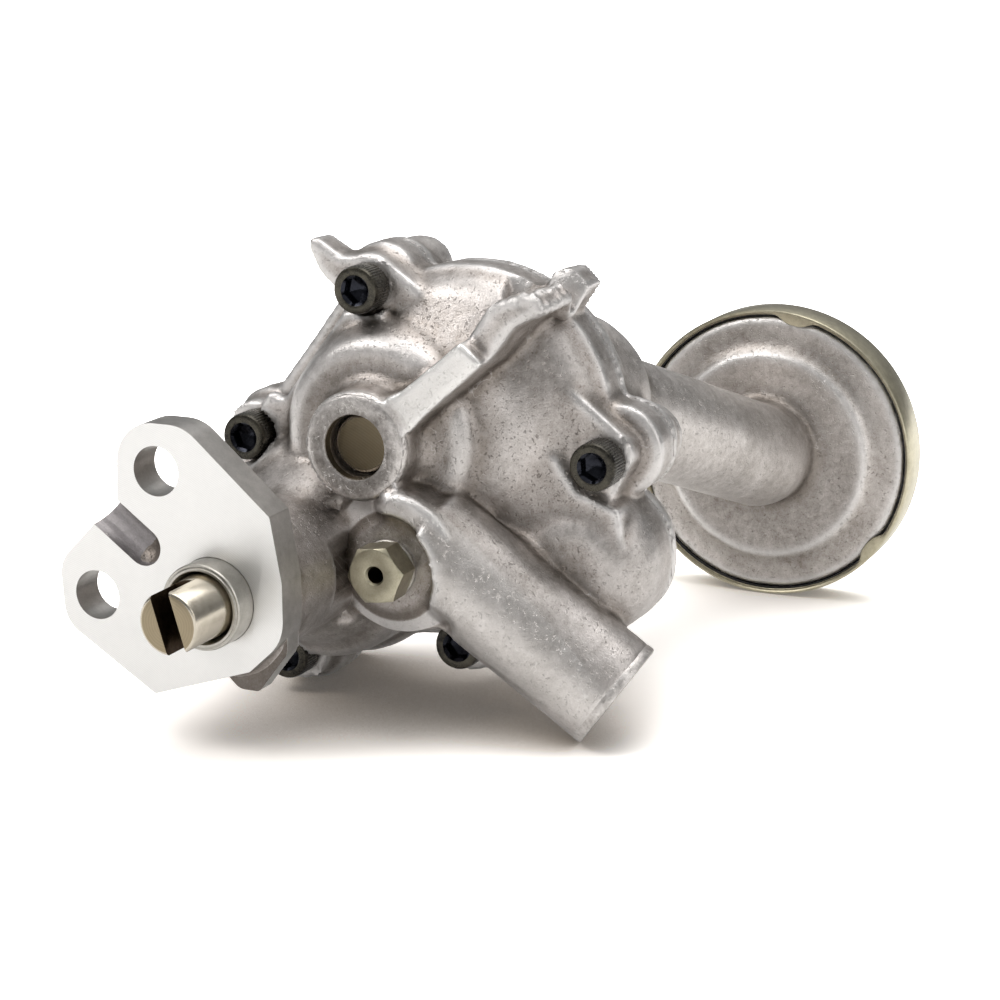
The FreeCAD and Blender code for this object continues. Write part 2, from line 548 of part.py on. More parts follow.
def make_cover():
    """The rear casting: plate, bearing bosses, relief housing, suction arm and bell."""
    body = new_body("pump_cover")
    pad(body, "joint_plate", joint_outline(), "joint_plane", "2.6")
    pad(body, "rear_plate", joint_outline(2.0), "joint_plane", "joint_flange")
    rear = "joint_plane + joint_flange"
    turned(body, "drive_boss", DRIVE, post("joint_plane", "shaft_rear + 4", "neck_radius", 0, 2.5))
    turned(body, "idler_boss", IDLER, post("joint_plane", "joint_plane + 15", "idler_boss_radius", 0, 2))
    pad(body, "boss_web", web_outline(DRIVE, 9, IDLER, 8), rear, "6")
    turned(body, "suction_dome", (ARM_ROOT.x - 4, ARM_ROOT.z),
           post("joint_plane", "arm_root_y + 9", 19, 0, 8))
    turned(body, "relief_housing", RELIEF, post("joint_plane", "cap_seat", "cap_thread / 2 + 3.6", 0, 0.8))
    pad(body, "tapped_lugs", circles(SCREW_PLACES, "lug_radius - 1"), "joint_plane + 1", "12")
    arm_run = ARM_END - ARM_ROOT
    cylinder(body, "suction_arm", "arm_radius", ARM_ROOT, arm_run, arm_run.Length)
    ball(body, "arm_root_ball", "arm_radius", ARM_ROOT)
    ball(body, "arm_end_ball", "arm_radius", ARM_END)
    cylinder(body, "arm_outlet", "arm_radius", ARM_END, BACKWARD, value("bell_front + 1") - ARM_END.y)
    bell_rear = "bell_front + bell_depth"
    turned(body, "bell", BELL, (
        (0, "bell_front", 0), ("step_radius", "bell_front", 1.2),
        ("step_radius + 1.5", "bell_front + step_height + 0.6", 0.8),
        ("bell_radius", "bell_front + step_height + 1.4", 1.0), ("bell_radius", bell_rear, 0),
        (0, bell_rear, 0)))

    # hollows, bores and holes
    turned(body, "bell_hollow", BELL, (
        (0, "bell_front + bell_wall", 0), ("step_radius - 2", "bell_front + bell_wall", 2),
        ("bell_radius - bell_wall", "bell_front + bell_wall + 3", 2),
        ("bell_radius - bell_wall", "bell_front + bell_depth + 1", 0),
        (0, "bell_front + bell_depth + 1", 0)), True)
    cylinder(body, "arm_hole", "arm_bore / 2", ARM_ROOT, arm_run, arm_run.Length + 14, True)
    turned(body, "suction_port", (ARM_ROOT.x - 2, ARM_ROOT.z + 1),
           post("joint_plane - 1", "arm_root_y + 4", 9.0, 0, 4), True)
    turned(body, "rear_bush_bore", DRIVE,
           post("joint_plane - 1", "shaft_rear + 0.5", "bush_diameter / 2"), True)
    turned(body, "idler_axle_hole", IDLER,
           post("joint_plane - 1", "joint_plane + 10.2", "idler_shaft_diameter / 2"), True)
    turned(body, "relief_bore", RELIEF,
           post("joint_plane - 1", "cap_seat - 6", "piston_diameter / 2 + running_fit"), True)
    turned(body, "cap_thread_hole", RELIEF, post("cap_seat - 7", "cap_seat + 1", "cap_thread / 2"), True)
    pocket(body, "tapped_holes", circles(SCREW_PLACES, "screw_diameter / 2"), "joint_plane - 1",
           "screw_seat + screw_length + 2 - joint_plane")
    pocket(body, "dowel_holes", circles(DOWEL_PLACES, "dowel_diameter / 2"), "joint_plane - 1",
           "dowel_length / 2 + 1")
    return body


# Shafts and gears

def tooth_half_angle(radius):
    """Half the tooth's angle at a radius, on the involute flank."""
    base = pitch_radius * math.cos(math.radians(value("pressure_angle")))
    at_pitch = math.radians(value("pressure_angle"))
    at_radius = math.acos(min(1.0, base / radius))
    half_pitch_tooth = math.pi / (2 * value("gear_teeth")) - value("backlash") / (4 * pitch_radius)
    involute_pitch = math.tan(at_pitch) - at_pitch
    involute_radius = math.tan(at_radius) - at_radius
    return half_pitch_tooth + involute_pitch - involute_radius


def tooth_outline(turn):
    """One tooth: two involute flanks, each an arc through three of its points."""
    base = pitch_radius * math.cos(math.radians(value("pressure_angle"))) + 0.001

    def at(radius, side, narrower=0.0):
        angle = turn + side * (tooth_half_angle(max(radius, base)) - narrower)
        return Vector(radius * math.cos(angle), radius * math.sin(angle), 0)

    middle = (base + tip_radius) / 2
    inside = root_radius - 0.6
    root_relief = 0.03
    low = [at(inside, side, root_relief) for side in (-1, 1)]
    foot = [at(base, side) for side in (-1, 1)]
    tip = [at(tip_radius, side) for side in (-1, 1)]
    crown = Vector(tip_radius * math.cos(turn), tip_radius * math.sin(turn), 0)
    return [
        Part.LineSegment(low[0], foot[0]),
        Part.Arc(foot[0], at(middle, -1), tip[0]),
        Part.Arc(tip[0], crown, tip[1]),
        Part.Arc(tip[1], at(middle, 1), foot[1]),
        Part.LineSegment(foot[1], low[1]),
        Part.LineSegment(low[1], low[0]),
    ]


def make_gear(name, place, turn, bore):
    """A spur gear on its own origin, with its teeth in a polar pattern."""
    body = new_body(name)
    width = "joint_plane - chamber_front - 2 * side_clearance"
    disc = pad(body, name + "_root", circle(DRIVE, root_radius), "0", width)
    disc.Label = name + "_root"
    tooth = pad(body, name + "_tooth", tooth_outline(turn), "0", width)
    pattern = body.newObject("PartDesign::PolarPattern", name + "_teeth")
    pattern.Originals = [tooth]
    pattern.Axis = (origin_feature(body, "Y_Axis"), [""])
    pattern.Angle = 360
    pattern.setExpression("Occurrences", formula("gear_teeth"))
    body.Tip = pattern
    cylinder(body, name + "_bore", bore, Vector(0, -1, 0), BACKWARD, width + " + 2", True)
    body.Placement = Placement(Vector(place[0], value("chamber_front + side_clearance"), place[1]),
                               Rotation())
    return body


def make_drive_gear():
    """The driving gear, with its keyway and the recess for the circlip."""
    gear = make_gear("drive_gear", DRIVE, idler_turn, "shaft_diameter / 2")
    box(gear, "keyway", ("4", "14", "4"), Vector(-2, -1, value("shaft_diameter / 2") - 1.6), True)
    cylinder(gear, "circlip_recess", "9.2", Vector(0, -1, 0), BACKWARD, "3.2", True)
    return gear


def make_drive_shaft():
    """The shaft with the driving slot, a keyway and the circlip's groove."""
    body = new_body("drive_shaft")
    radius = "shaft_diameter / 2"
    end = "drive_end_diameter / 2"
    turned(body, "shaft", DRIVE, (
        (0, "-shaft_overhang", 0), (end + " - 0.6", "-shaft_overhang", 0), (end, "-shaft_overhang + 0.6", 0),
        (end, "-bush_proud - 0.5", 0), (radius, "-bush_proud - 0.1", 0), (radius, "shaft_rear", 0),
        (0, "shaft_rear", 0)))
    slot = box(body, "driving_slot", ("slot_width", "slot_depth + 1", "shaft_diameter + 2"), Vector(), True)
    lean = Rotation(BACKWARD, -value("slot_lean"))
    corner = Vector(-value("slot_width / 2"), -value("shaft_overhang + 1"), -value("shaft_diameter / 2 + 1"))
    slot.Placement = Placement(lean.multVec(corner), lean)
    keyway_corner = Vector(value("-key_width / 2"), value("chamber_front + side_clearance") + 2.2,
                           value("shaft_diameter / 2 - keyway_depth"))
    box(body, "shaft_keyway", ("key_width", "13", "4"), keyway_corner, True)
    front = "chamber_front + side_clearance + circlip_place"
    rear = front + " + circlip_thickness"
    floor = "shaft_diameter / 2 - circlip_groove_depth"
    outside = "shaft_diameter / 2 + 1"
    turned(body, "circlip_groove", DRIVE, (
        (floor, front, 0), (outside, front, 0), (outside, rear, 0), (floor, rear, 0)), True)
    return body


def make_gear_key():
    """The key between shaft and driving gear."""
    body = new_body("gear_key")
    corner = Vector(value("-key_width / 2"), value("chamber_front + side_clearance") + 2.4,
                    value("shaft_diameter / 2 - keyway_depth"))
    box(body, "key", ("key_width", "10.5", "3"), corner)
    return body


def make_circlip():
    """The split ring that holds the driving gear on its shaft."""
    body = new_body("gear_circlip")
    front = "chamber_front + side_clearance + circlip_place"
    rear = front + " + circlip_thickness"
    inner = "shaft_diameter / 2 - circlip_groove_depth"
    turned(body, "ring", DRIVE, (
        (inner, front, 0), ("circlip_radius", front, 0), ("circlip_radius", rear, 0), (inner, rear, 0)))
    box(body, "split", ("3", "4", "9"), Vector(-1.5, value(front) - 1, -9.5), True)
    return body


def make_ring(name, place, inner, outer, front, rear, chamfer=0.0):
    """A bush, washer or seal: a plain ring along Y with both outer edges broken."""
    body = new_body(name)
    turned(body, name + "_ring", place, (
        (inner, front, 0), (outer, front, chamfer), (outer, rear, chamfer), (inner, rear, 0)))
    return body


def make_front_bush():
    """The shaft's front bush, its thicker end a locating ring in front of the flange face."""
    body = new_body("front_bush")
    inner = "shaft_diameter / 2 + running_fit"
    turned(body, "bush", DRIVE, (
        (inner, "-bush_proud", 0), ("pilot_diameter / 2", "-bush_proud", 0.6), ("pilot_diameter / 2", 0, 0),
        ("bush_diameter / 2", 0, 0), ("bush_diameter / 2", "bush_rear", 0.5), (inner, "bush_rear", 0)))
    return body


def make_idler_shaft():
    """The fixed axle, pressed in the body, its end seen in the boss's mouth."""
    body = new_body("idler_shaft")
    turned(body, "axle", IDLER, post("idler_boss_face + idler_recess", "joint_plane + 10",
                                     "idler_shaft_diameter / 2"))
    turned(body, "axle_chamfer", IDLER, (
        ("idler_shaft_diameter / 2 - 0.7", "idler_boss_face + idler_recess", 0),
        ("idler_shaft_diameter / 2 + 1", "idler_boss_face + idler_recess - 1", 0),
        ("idler_shaft_diameter / 2 + 1", "idler_boss_face + idler_recess + 0.7", 0),
        ("idler_shaft_diameter / 2", "idler_boss_face + idler_recess + 0.7", 0)), True)
    return body


# Relief valve

def make_piston():
    """The cup-shaped relief piston, its open end towards the spring."""
    body = new_body("relief_piston")
    turned(body, "piston", RELIEF, (
        (0, "piston_seat", 0), ("piston_diameter / 2", "piston_seat", 0.8),
        ("piston_diameter / 2", "piston_seat + piston_length", 0),
        ("piston_diameter / 2 - piston_wall", "piston_seat + piston_length", 0),
        ("piston_diameter / 2 - piston_wall", "piston_seat + 4", 0.6), (0, "piston_seat + 4", 0)))
    return body


def make_spring():
    """The relief spring between the piston's floor and the cap's spigot."""
    wire = value("spring_wire")
    front = value("piston_seat") + 4 + wire / 2 + 0.05
    rear = value("cap_seat") - 6 - wire / 2 - 0.05
    radius = value("piston_diameter / 2 - piston_wall") - wire / 2 - 0.3
    coils = value("spring_turns")
    helix = Part.makeHelix((rear - front) / coils, rear - front, radius)
    start = Vector(radius, 0, 0)
    section = Part.Wire(Part.Circle(start, Vector(0, 1, 0), wire / 2).toShape())
    wire_solid = Part.Wire(helix).makePipeShell([section], True, True)
    spring = document.addObject("Part::Feature", "relief_spring")
    spring.Label = "relief_spring"
    spring.Shape = wire_solid
    spring.Placement = Placement(Vector(RELIEF[0], front, RELIEF[1]),
                                 Rotation(Vector(0, 0, 1), BACKWARD))
    return spring


def make_relief_cap():
    """The screwed cap that closes the relief valve and carries the spring."""
    body = new_body("relief_cap")
    turned(body, "cap_thread_post", RELIEF,
           post("cap_seat - 6", "cap_seat + 2", "cap_thread / 2 - 0.02", 0.8))
    front = "cap_seat + washer_thickness"
    pad(body, "cap_hexagon", hexagon(value("cap_across"), RELIEF), front, "cap_height")
    turned(body, "cap_crown", RELIEF, (
        ("cap_across / 2", "cap_seat + washer_thickness + cap_height", 0),
        ("cap_across", "cap_seat + washer_thickness + cap_height - 2.5", 0),
        ("cap_across", "cap_seat + washer_thickness + cap_height + 1", 0),
        ("cap_across / 2", "cap_seat + washer_thickness + cap_height + 1", 0)), True)
    return body


# Oil jet plug

def make_jet_plug():
    """The hexagon plug with a small hole that sprays the drive gear."""
    body = new_body("jet_plug")
    head_rear = "jet_seat - washer_thickness"
    head_front = "jet_seat - washer_thickness - jet_height"
    pad(body, "jet_hexagon", hexagon(value("jet_across"), JET, 8.0), head_front, "jet_height")
    turned(body, "jet_thread_post", JET, post("jet_seat - 3", "jet_seat + jet_thread_length",
                                              "jet_thread / 2 - 0.02", 0, 0.6))
    turned(body, "jet_crown", JET, (
        ("jet_across / 2 - 0.2", head_front, 0), ("jet_across", head_front + " + 3", 0),
        ("jet_across", head_front + " - 1", 0), ("jet_across / 2 - 0.2", head_front + " - 1", 0)), True)
    turned(body, "jet_drilling", JET, post(head_front + " - 1", head_rear + " + 10", "jet_hole / 2"), True)
    return body


# Fasteners

def make_cover_screws():
    """Five socket-head cap screws through the body into the cover, as one group."""
    screws = []
    for index, place in enumerate(SCREW_PLACES, start=1):
        screw = new_body("cover_screw_%d" % index)
        head_front = "screw_seat - screw_head_height"
        turned(screw, "head_%d" % index, place, (
            (0, head_front, 0), ("screw_head_diameter / 2", head_front, 0.6),
            ("screw_head_diameter / 2", "screw_seat", 0), ("screw_diameter / 2", "screw_seat", 0),
            ("screw_diameter / 2", "screw_seat + screw_length", 0.8), (0, "screw_seat + screw_length", 0)))
        pocket(screw, "socket_%d" % index, hexagon(value("socket_across"), place, 12.0 * index),
               head_front, "3.2")
        screws.append(screw)
    return group("cover_screws", screws)


def group(name, pieces):
    """Several separate solids as one node."""
    compound = document.addObject("Part::Compound", name)
    compound.Label = name
    compound.Links = pieces
    return compound


def make_dowels():
    """Two dowel pins that line up body and cover."""
    pins = []
    for index, place in enumerate(DOWEL_PLACES, start=1):
        pin = document.addObject("Part::Cylinder", "dowel_pin_%d" % index)
        pin.setExpression("Radius", formula("dowel_diameter / 2"))
        pin.setExpression("Height", formula("dowel_length"))
        start = Vector(place[0], value("joint_plane - dowel_length / 2"), place[1])
        pin.Placement = Placement(start, Rotation(Vector(0, 0, 1), BACKWARD))
        pins.append(pin)
    return group("dowel_pins", pins)


# Strainer

def make_retainer():
    """The pressed ring that holds screen and seal on the bell, with a cross behind."""
    body = new_body("strainer_retainer")
    lip = "bell_front + step_height + 4"
    rear = "bell_front + bell_depth + screen_thickness + retainer_wall + 1"
    inner = RIM + " - retainer_wall"
    turned(body, "retainer", BELL, (
        (inner, lip, 0), (RIM, lip, 0.3), (RIM, rear, 1.0), ("bell_radius - 7.3", rear, 0),
        ("bell_radius - 7.3", rear + " - retainer_wall", 0), (inner, rear + " - retainer_wall", 0)))
    bar_reach = value("bell_radius - 5.8")
    for index, turn in enumerate((45, 135)):
        bar = body.newObject("PartDesign::AdditiveBox", "bar_%d" % index)
        bar.Length = 2 * bar_reach
        bar.setExpression("Width", formula("retainer_wall"))
        bar.Height = 5
        spin = Rotation(BACKWARD, turn)
        middle = Vector(BELL[0], value(rear + " - retainer_wall"), BELL[1])
        bar.Placement = Placement(spin.multVec(Vector(-bar_reach, 0, -2.5)) + middle, spin)
    return body


def make_screen():
    """The round wire-cloth screen, as one thin disc."""
    body = new_body("strainer_screen")
    front = "bell_front + bell_depth"
    turned(body, "screen", BELL, post(front, front + " + screen_thickness", "bell_radius"))
    return body


PARTS = [
    make_body(),
    make_cover(),
    make_drive_shaft(),
    make_drive_gear(),
    make_gear_key(),
    make_circlip(),
    make_front_bush(),
    make_ring("rear_bush", DRIVE, "shaft_diameter / 2 + running_fit", "bush_diameter / 2",
              "joint_plane + 0.2", "shaft_rear", 0.6),
    make_idler_shaft(),
    make_gear("idler_gear", IDLER, idler_turn + math.pi + math.pi / value("gear_teeth"),
              "idler_shaft_diameter / 2 + idler_bush_wall"),
    make_ring("idler_bush", IDLER, "idler_shaft_diameter / 2 + running_fit",
              "idler_shaft_diameter / 2 + idler_bush_wall", "chamber_front + side_clearance + 0.1",
              "joint_plane - side_clearance - 0.1"),
    make_piston(),
    make_spring(),
    make_relief_cap(),
    make_ring("relief_cap_washer", RELIEF, "cap_thread / 2 + 0.1", "cap_across / 2 - 0.2", "cap_seat",
              "cap_seat + washer_thickness"),
    make_jet_plug(),
    make_ring("jet_plug_washer", JET, "jet_thread / 2 + 0.1", "jet_across / 2 + 0.4",
              "jet_seat - washer_thickness", "jet_seat"),
    make_cover_screws(),
    make_dowels(),
    make_screen(),
    make_retainer(),
    make_ring("strainer_seal", BELL, "bell_radius", "bell_radius + seal_thickness",
              "bell_front + step_height + 4.2", "bell_front + bell_depth + screen_thickness", 0.0),
]

document.recompute()
for item in document.Objects:
    if "Invalid" in item.State or "Error" in item.State:
        raise RuntimeError("%s failed: %s" % (item.Name, item.State))
for item in PARTS:
    if item.Shape.isNull() or not item.Shape.isValid():
        raise RuntimeError("%s has no valid shape" % item.Label)
os.makedirs("parts", exist_ok=True)
for item in PARTS:
    item.Shape.exportStep("parts/%s.step" % item.Label)
    print("%-20s solids %d  volume %.0f" % (item.Label, len(item.Shape.Solids), item.Shape.Volume))
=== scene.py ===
# %% [markdown]
# # An engine oil pump on a bench
# The pump is a pair of die castings with machined faces, a slotted steel drive shaft, socket-head
# screws, a jet plug and a round strainer on a long suction arm.
# The CAD model gives every place and size. This script dresses it: it rounds the castings the way
# a mould does, makes the small turned pieces again with fine detail, and paints the metals.

import math

import bmesh
import bpy
import numpy as np
from mathutils import Matrix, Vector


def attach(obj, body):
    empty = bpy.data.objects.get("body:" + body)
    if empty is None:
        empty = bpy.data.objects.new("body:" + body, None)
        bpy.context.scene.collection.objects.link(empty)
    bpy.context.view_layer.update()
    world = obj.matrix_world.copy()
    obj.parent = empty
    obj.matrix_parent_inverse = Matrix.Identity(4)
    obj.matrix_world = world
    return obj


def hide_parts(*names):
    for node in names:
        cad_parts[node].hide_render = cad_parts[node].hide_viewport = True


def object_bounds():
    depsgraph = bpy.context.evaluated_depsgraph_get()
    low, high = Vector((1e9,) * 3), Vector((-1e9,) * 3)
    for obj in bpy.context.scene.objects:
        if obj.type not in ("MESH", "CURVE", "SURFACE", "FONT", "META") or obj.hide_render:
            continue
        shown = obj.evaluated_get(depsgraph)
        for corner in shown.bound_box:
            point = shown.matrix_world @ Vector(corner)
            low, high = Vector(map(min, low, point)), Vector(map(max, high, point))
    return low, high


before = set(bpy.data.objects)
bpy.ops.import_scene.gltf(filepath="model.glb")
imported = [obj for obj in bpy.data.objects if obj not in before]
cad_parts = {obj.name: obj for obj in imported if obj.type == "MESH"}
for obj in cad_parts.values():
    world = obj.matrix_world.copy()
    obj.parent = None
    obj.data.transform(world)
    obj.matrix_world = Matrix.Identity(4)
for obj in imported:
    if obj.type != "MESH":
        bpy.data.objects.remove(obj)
cad_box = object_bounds()
MM = 0.001
print("CAD box in millimetres:", [[round(v / MM, 1) for v in corner] for corner in cad_box])

# %% [markdown]
# ## Making a mesh from arrays
# Each new piece is a set of points and faces worked out with numpy. The mesh is filled with
# foreach_set, which takes whole arrays. A closed surface has a positive volume when its faces
# point outwards, so the volume's sign tells whether the faces must be turned round.

# %% Mesh helpers
def new_object(name, data):
    """An object at the origin, in the scene."""
    piece = bpy.data.objects.new(name, data)
    bpy.context.scene.collection.objects.link(piece)
    return piece


def read_array(items, what, width, kind=np.float32):
    """One property of all the vertices, edges, loops or faces of a mesh, as rows of that width."""
    values = np.empty(len(items) * width, dtype=kind)
    items.foreach_get(what, values)
    return values.reshape(-1, width)


def reach_from(points, centre):
    """Distance from the line along Y through centre, which is given as (X, Z)."""
    return np.hypot(points[:, 0] - centre[0], points[:, 2] - centre[1])


def signed_volume(points, faces):
    """Sum over the faces of a sixth of the triple product of their corners, fanned from the first."""
    total = 0.0
    for corner in range(1, faces.shape[1] - 1):
        a, b, c = points[faces[:, 0]], points[faces[:, corner]], points[faces[:, corner + 1]]
        total += np.einsum("ij,ij->i", a, np.cross(b, c)).sum() / 6
    return total


def fill_mesh(mesh, points, faces):
    """Puts points (in millimetres) and faces with equal corner counts into an empty mesh."""
    corners = faces.shape[1]
    mesh.vertices.add(len(points))
    mesh.vertices.foreach_set("co", (points * MM).astype(np.float32).ravel())
    mesh.loops.add(faces.size)
    mesh.loops.foreach_set("vertex_index", faces.astype(np.int32).ravel())
    mesh.polygons.add(len(faces))
    mesh.polygons.foreach_set("loop_start", np.arange(0, faces.size, corners, dtype=np.int32))
    mesh.update(calc_edges=True)
    mesh.validate()


def add_piece(name, points, faces, body, nodes, sharp=35.0):
    """A finished piece: smooth faces, sharp edges over an angle in degrees, tied to its body, with the
    CAD nodes it stands for hidden.
    """
    if signed_volume(points, faces) < 0:
        faces = faces[:, ::-1]
    mesh = bpy.data.meshes.new(name)
    fill_mesh(mesh, points, faces)
    return tie_piece(new_object(name, mesh), body, nodes, sharp)


def tie_piece(piece, body, nodes, sharp):
    """Shades a piece, ties it to its body and hides the CAD nodes that it stands for."""
    mesh = piece.data
    mesh.polygons.foreach_set("use_smooth", np.ones(len(mesh.polygons), dtype=bool))
    mesh.set_sharp_from_angle(angle=math.radians(sharp))
    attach(piece, body)
    if nodes:
        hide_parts(*nodes)
    print(piece.name, "has", len(mesh.polygons), "faces")
    return piece


# %% [markdown]
# ## The castings
# A die casting has no knife edges: where two walls meet, the mould leaves a fillet, and its outer
# edges are slightly round. The CAD solid has sharp creases. One way is to fillet each edge by
# hand, but the pump's lobes meet in dozens of short curves. Here the solid is copied, covered by
# an even mesh, and its surface is let flow: each point moves towards the middle of its
# neighbours, far where the surface is hollow and a little where it is an edge. Machined planes
# and bores are held exactly, so they stay flat and round.

# %% An even mesh over a CAD solid
WELD_DISTANCE = 0.002


def cad_arrays(node):
    """Points (millimetres) and triangles of a CAD node."""
    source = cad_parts[node].data
    points = read_array(source.vertices, "co", 3).astype(float) / MM
    return points, read_array(source.loops, "vertex_index", 1, np.int32).reshape(-1, 3)


def even_mesh(node, voxel, extras=()):
    """Points (millimetres) and quads of a CAD node and extra closed shells, covered together by
    an even grid of that spacing."""
    points, triangles = cad_arrays(node)
    shells, faces = [points], triangles.tolist()
    for more, its_faces in extras:
        start = sum(len(shell) for shell in shells)
        faces += [[corner + start for corner in face] for face in its_faces]
        shells.append(np.array(more, dtype=float))
    mesh = bpy.data.meshes.new(node + "_copy")
    mesh.from_pydata((np.concatenate(shells) * MM).tolist(), [], faces)
    piece = new_object(node + "_copy", mesh)
    weld = piece.modifiers.new("weld", "WELD")
    weld.merge_threshold = WELD_DISTANCE * MM
    remesh = piece.modifiers.new("even", "REMESH")
    remesh.mode = "VOXEL"
    remesh.voxel_size = voxel * MM
    bpy.context.view_layer.update()
    even = piece.evaluated_get(bpy.context.evaluated_depsgraph_get()).to_mesh()
    points = read_array(even.vertices, "co", 3).astype(float) / MM
    corners = read_array(even.loops, "vertex_index", 1, np.int32).reshape(-1, 4)
    edges = read_array(even.edges, "vertices", 2, np.int32)
    piece.to_mesh_clear()
    bpy.data.objects.remove(piece)
    bpy.data.meshes.remove(mesh)
    return points, corners, edges


def slab(outline, front, rear):
    """A closed shell: an outline of (X, Z) points carried from one Y to another."""
    x, z = np.array(outline, dtype=float).T
    count = len(outline)
    ends = [np.stack([x, np.full(count, depth), z], axis=1) for depth in (front, rear)]
    sides = [[k, (k + 1) % count, (k + 1) % count + count, k + count] for k in range(count)]
    caps = [list(range(count))[::-1], list(range(count, 2 * count))]
    return np.concatenate(ends), sides + caps


def point_normals(points, faces):
    """The mean of the crossed diagonals of the quads round each point, made unit length."""
    p = points[faces]
    across = np.cross(p[:, 2] - p[:, 0], p[:, 3] - p[:, 1])
    flat = faces.ravel()
    each = np.repeat(across, 4, axis=0)
    total = np.stack([np.bincount(flat, each[:, k], len(points)) for k in range(3)], axis=1)
    return total / np.maximum(np.linalg.norm(total, axis=1, keepdims=True), 1e-12)


def neighbour_mean(edges, size):
    """A function that gives each point the mean of its neighbours' values."""
    both = np.concatenate([edges, edges[:, ::-1]])
    count = np.bincount(both[:, 0], minlength=size)

    def mean(values):
        return np.bincount(both[:, 0], values[both[:, 1]], size) / count
    return mean


def pull_of(points, mean):
    """The way from each point to the mean of its neighbours."""
    return np.stack([mean(points[:, k]) for k in range(3)], axis=1) - points


HOLD_WITHIN = 0.3
HOLD_PAST_END = 0.2
FLOW_ACROSS = 0.55
FLOW_ALONG = 0.35


def hold_machined(points, planes, bores):
    """Which points lie on machined planes (facing along Y) and bores, by index into each list."""
    on_plane = np.full(len(points), -1)
    on_bore = np.full(len(points), -1)
    for index, (depth, low, high) in enumerate(planes):
        inside = (points[:, 0] > low[0]) & (points[:, 0] < high[0])
        inside &= (points[:, 2] > low[1]) & (points[:, 2] < high[1])
        on_plane[inside & (np.abs(points[:, 1] - depth) < HOLD_WITHIN)] = index
    for index, (centre, radius, start, end) in enumerate(bores):
        off_wall = np.abs(reach_from(points, centre) - radius)
        inside = (points[:, 1] > start - HOLD_PAST_END) & (points[:, 1] < end + HOLD_PAST_END)
        on_bore[inside & (off_wall < HOLD_WITHIN)] = index
    return on_plane, on_bore


def put_back(points, held, planes, bores):
    """Moves held points onto their plane's depth and out or in to their bore's radius."""
    on_plane, on_bore = held
    for index, (depth, *_) in enumerate(planes):
        points[on_plane == index, 1] = depth
    for index, (centre, radius, *_) in enumerate(bores):
        mine = on_bore == index
        away = points[mine][:, [0, 2]] - centre
        away *= radius / np.maximum(np.linalg.norm(away, axis=1, keepdims=True), 1e-9)
        points[np.ix_(mine, [0, 2])] = away + centre


def soften(points, faces, edges, planes, bores, fillet_steps, edge_steps):
    """Curvature flow: each point goes FLOW_ALONG of the way to the mean of its neighbours along
    the surface, and FLOW_ACROSS of it along its normal, where that is outwards (a hollow). During
    the first edge_steps it goes inwards as well."""
    held = hold_machined(points, planes, bores)
    mean = neighbour_mean(edges, len(points))
    put_back(points, held, planes, bores)
    for step in range(fillet_steps):
        pull = pull_of(points, mean)
        normals = point_normals(points, faces)
        rise = np.einsum("ij,ij->i", pull, normals)[:, None]
        along = pull - rise * normals
        if step >= edge_steps:
            rise = np.maximum(rise, 0)
        points = points + FLOW_ACROSS * rise * normals + FLOW_ALONG * along
        put_back(points, held, planes, bores)
    return points, (held[0] >= 0) | (held[1] >= 0)


def bend(points, faces, edges, spread=6):
    """How hollow (above zero) or edge-like (below zero) the surface is at each point: the
    neighbours' mean height over the point, averaged a few times along the mesh."""
    mean = neighbour_mean(edges, len(points))
    rise = np.einsum("ij,ij->i", pull_of(points, mean), point_normals(points, faces))
    for _ in range(spread):
        rise = 0.5 * rise + 0.5 * mean(rise)
    return rise


def sink(points, faces, weight, depth):
    """Moves points inwards along their normals, by depth times a weight between 0 and 1."""
    return points - depth * weight[:, None] * point_normals(points, faces)


WAVES = 14
WAVE_GAIN = 2.2


def lumps(points, size, seed):
    """A soft random height, mostly between -1 and 1: WAVE_GAIN times the mean of plane waves in
    random directions, with wavelengths round size in millimetres."""
    rng = np.random.default_rng(seed)
    waves = rng.normal(size=(WAVES, 3))
    lengths = size * rng.uniform(0.7, 1.5, WAVES)
    waves *= (2 * math.pi / lengths / np.linalg.norm(waves, axis=1))[:, None]
    return np.sin(points @ waves.T + rng.uniform(0, 2 * math.pi, WAVES)).mean(axis=1) * WAVE_GAIN


def mark_points(piece, **marks):
    """Stores one float per point under each name, for the material to read."""
    for name, values in marks.items():
        layer = piece.data.attributes.new(name, "FLOAT", "POINT")
        layer.data.foreach_set("value", values.astype(np.float32))


# %% [markdown]
# The body's mounting flange, the ring round the idler's mouth and the socket's end are machined,
# so they come back later as crisp pieces. The skin is sunk by a third of a millimetre there and
# the crisp pieces cover it. Four values are kept at each point for the material: "hollow" is
# large in creases and on the foot behind the flange, where it darkens the metal as painted shade,
# "edge" where handling has polished the metal, "torn" on the fracture at the top of the rib, and a
# painted highlight on the front of rib and socket, lighter towards the top and with more scratches.

# %% The pump body's skin
DRIVE = np.array([0.0, 0.0])
IDLER = 30.0 * np.array([math.cos(math.radians(58.9)), math.sin(math.radians(58.9))])
JET = np.array([22.2, 1.1])
RELIEF = np.array([47.0, -1.0])
SCREWS = np.array([(9.7, 55.0), (61.6, 23.2), (-17.0, 22.2), (32.1, -17.4), (-8.0, -24.7)])
MOUNT_HOLES = np.array([(-12.3, 24.6), (-26.8, -2.0)])
JOINT = 62.0
SCREW_SEAT = 48.0
BOSS_FACE = 29.6
FLANGE_REAR = 8.0
SOCKET_RUN = np.array([0.80299, 0.09859, -0.58779])
SOCKET_END = np.array([67.6, 42.2, -23.292])
SUNK = 0.35
FAR = 200.0
BODY_VOXEL = 0.62
POCKET_RADIUS = 10.5
POCKET_FLOOR = 32.4
POCKET_SLOPE = 0.35
CURL_GAIN = 40


def fade(values, zero, one):
    """A smooth step: 0 at zero, 1 at one, with level ends."""
    step = np.clip((values - zero) / (one - zero), 0, 1)
    return step * step * (3 - 2 * step)


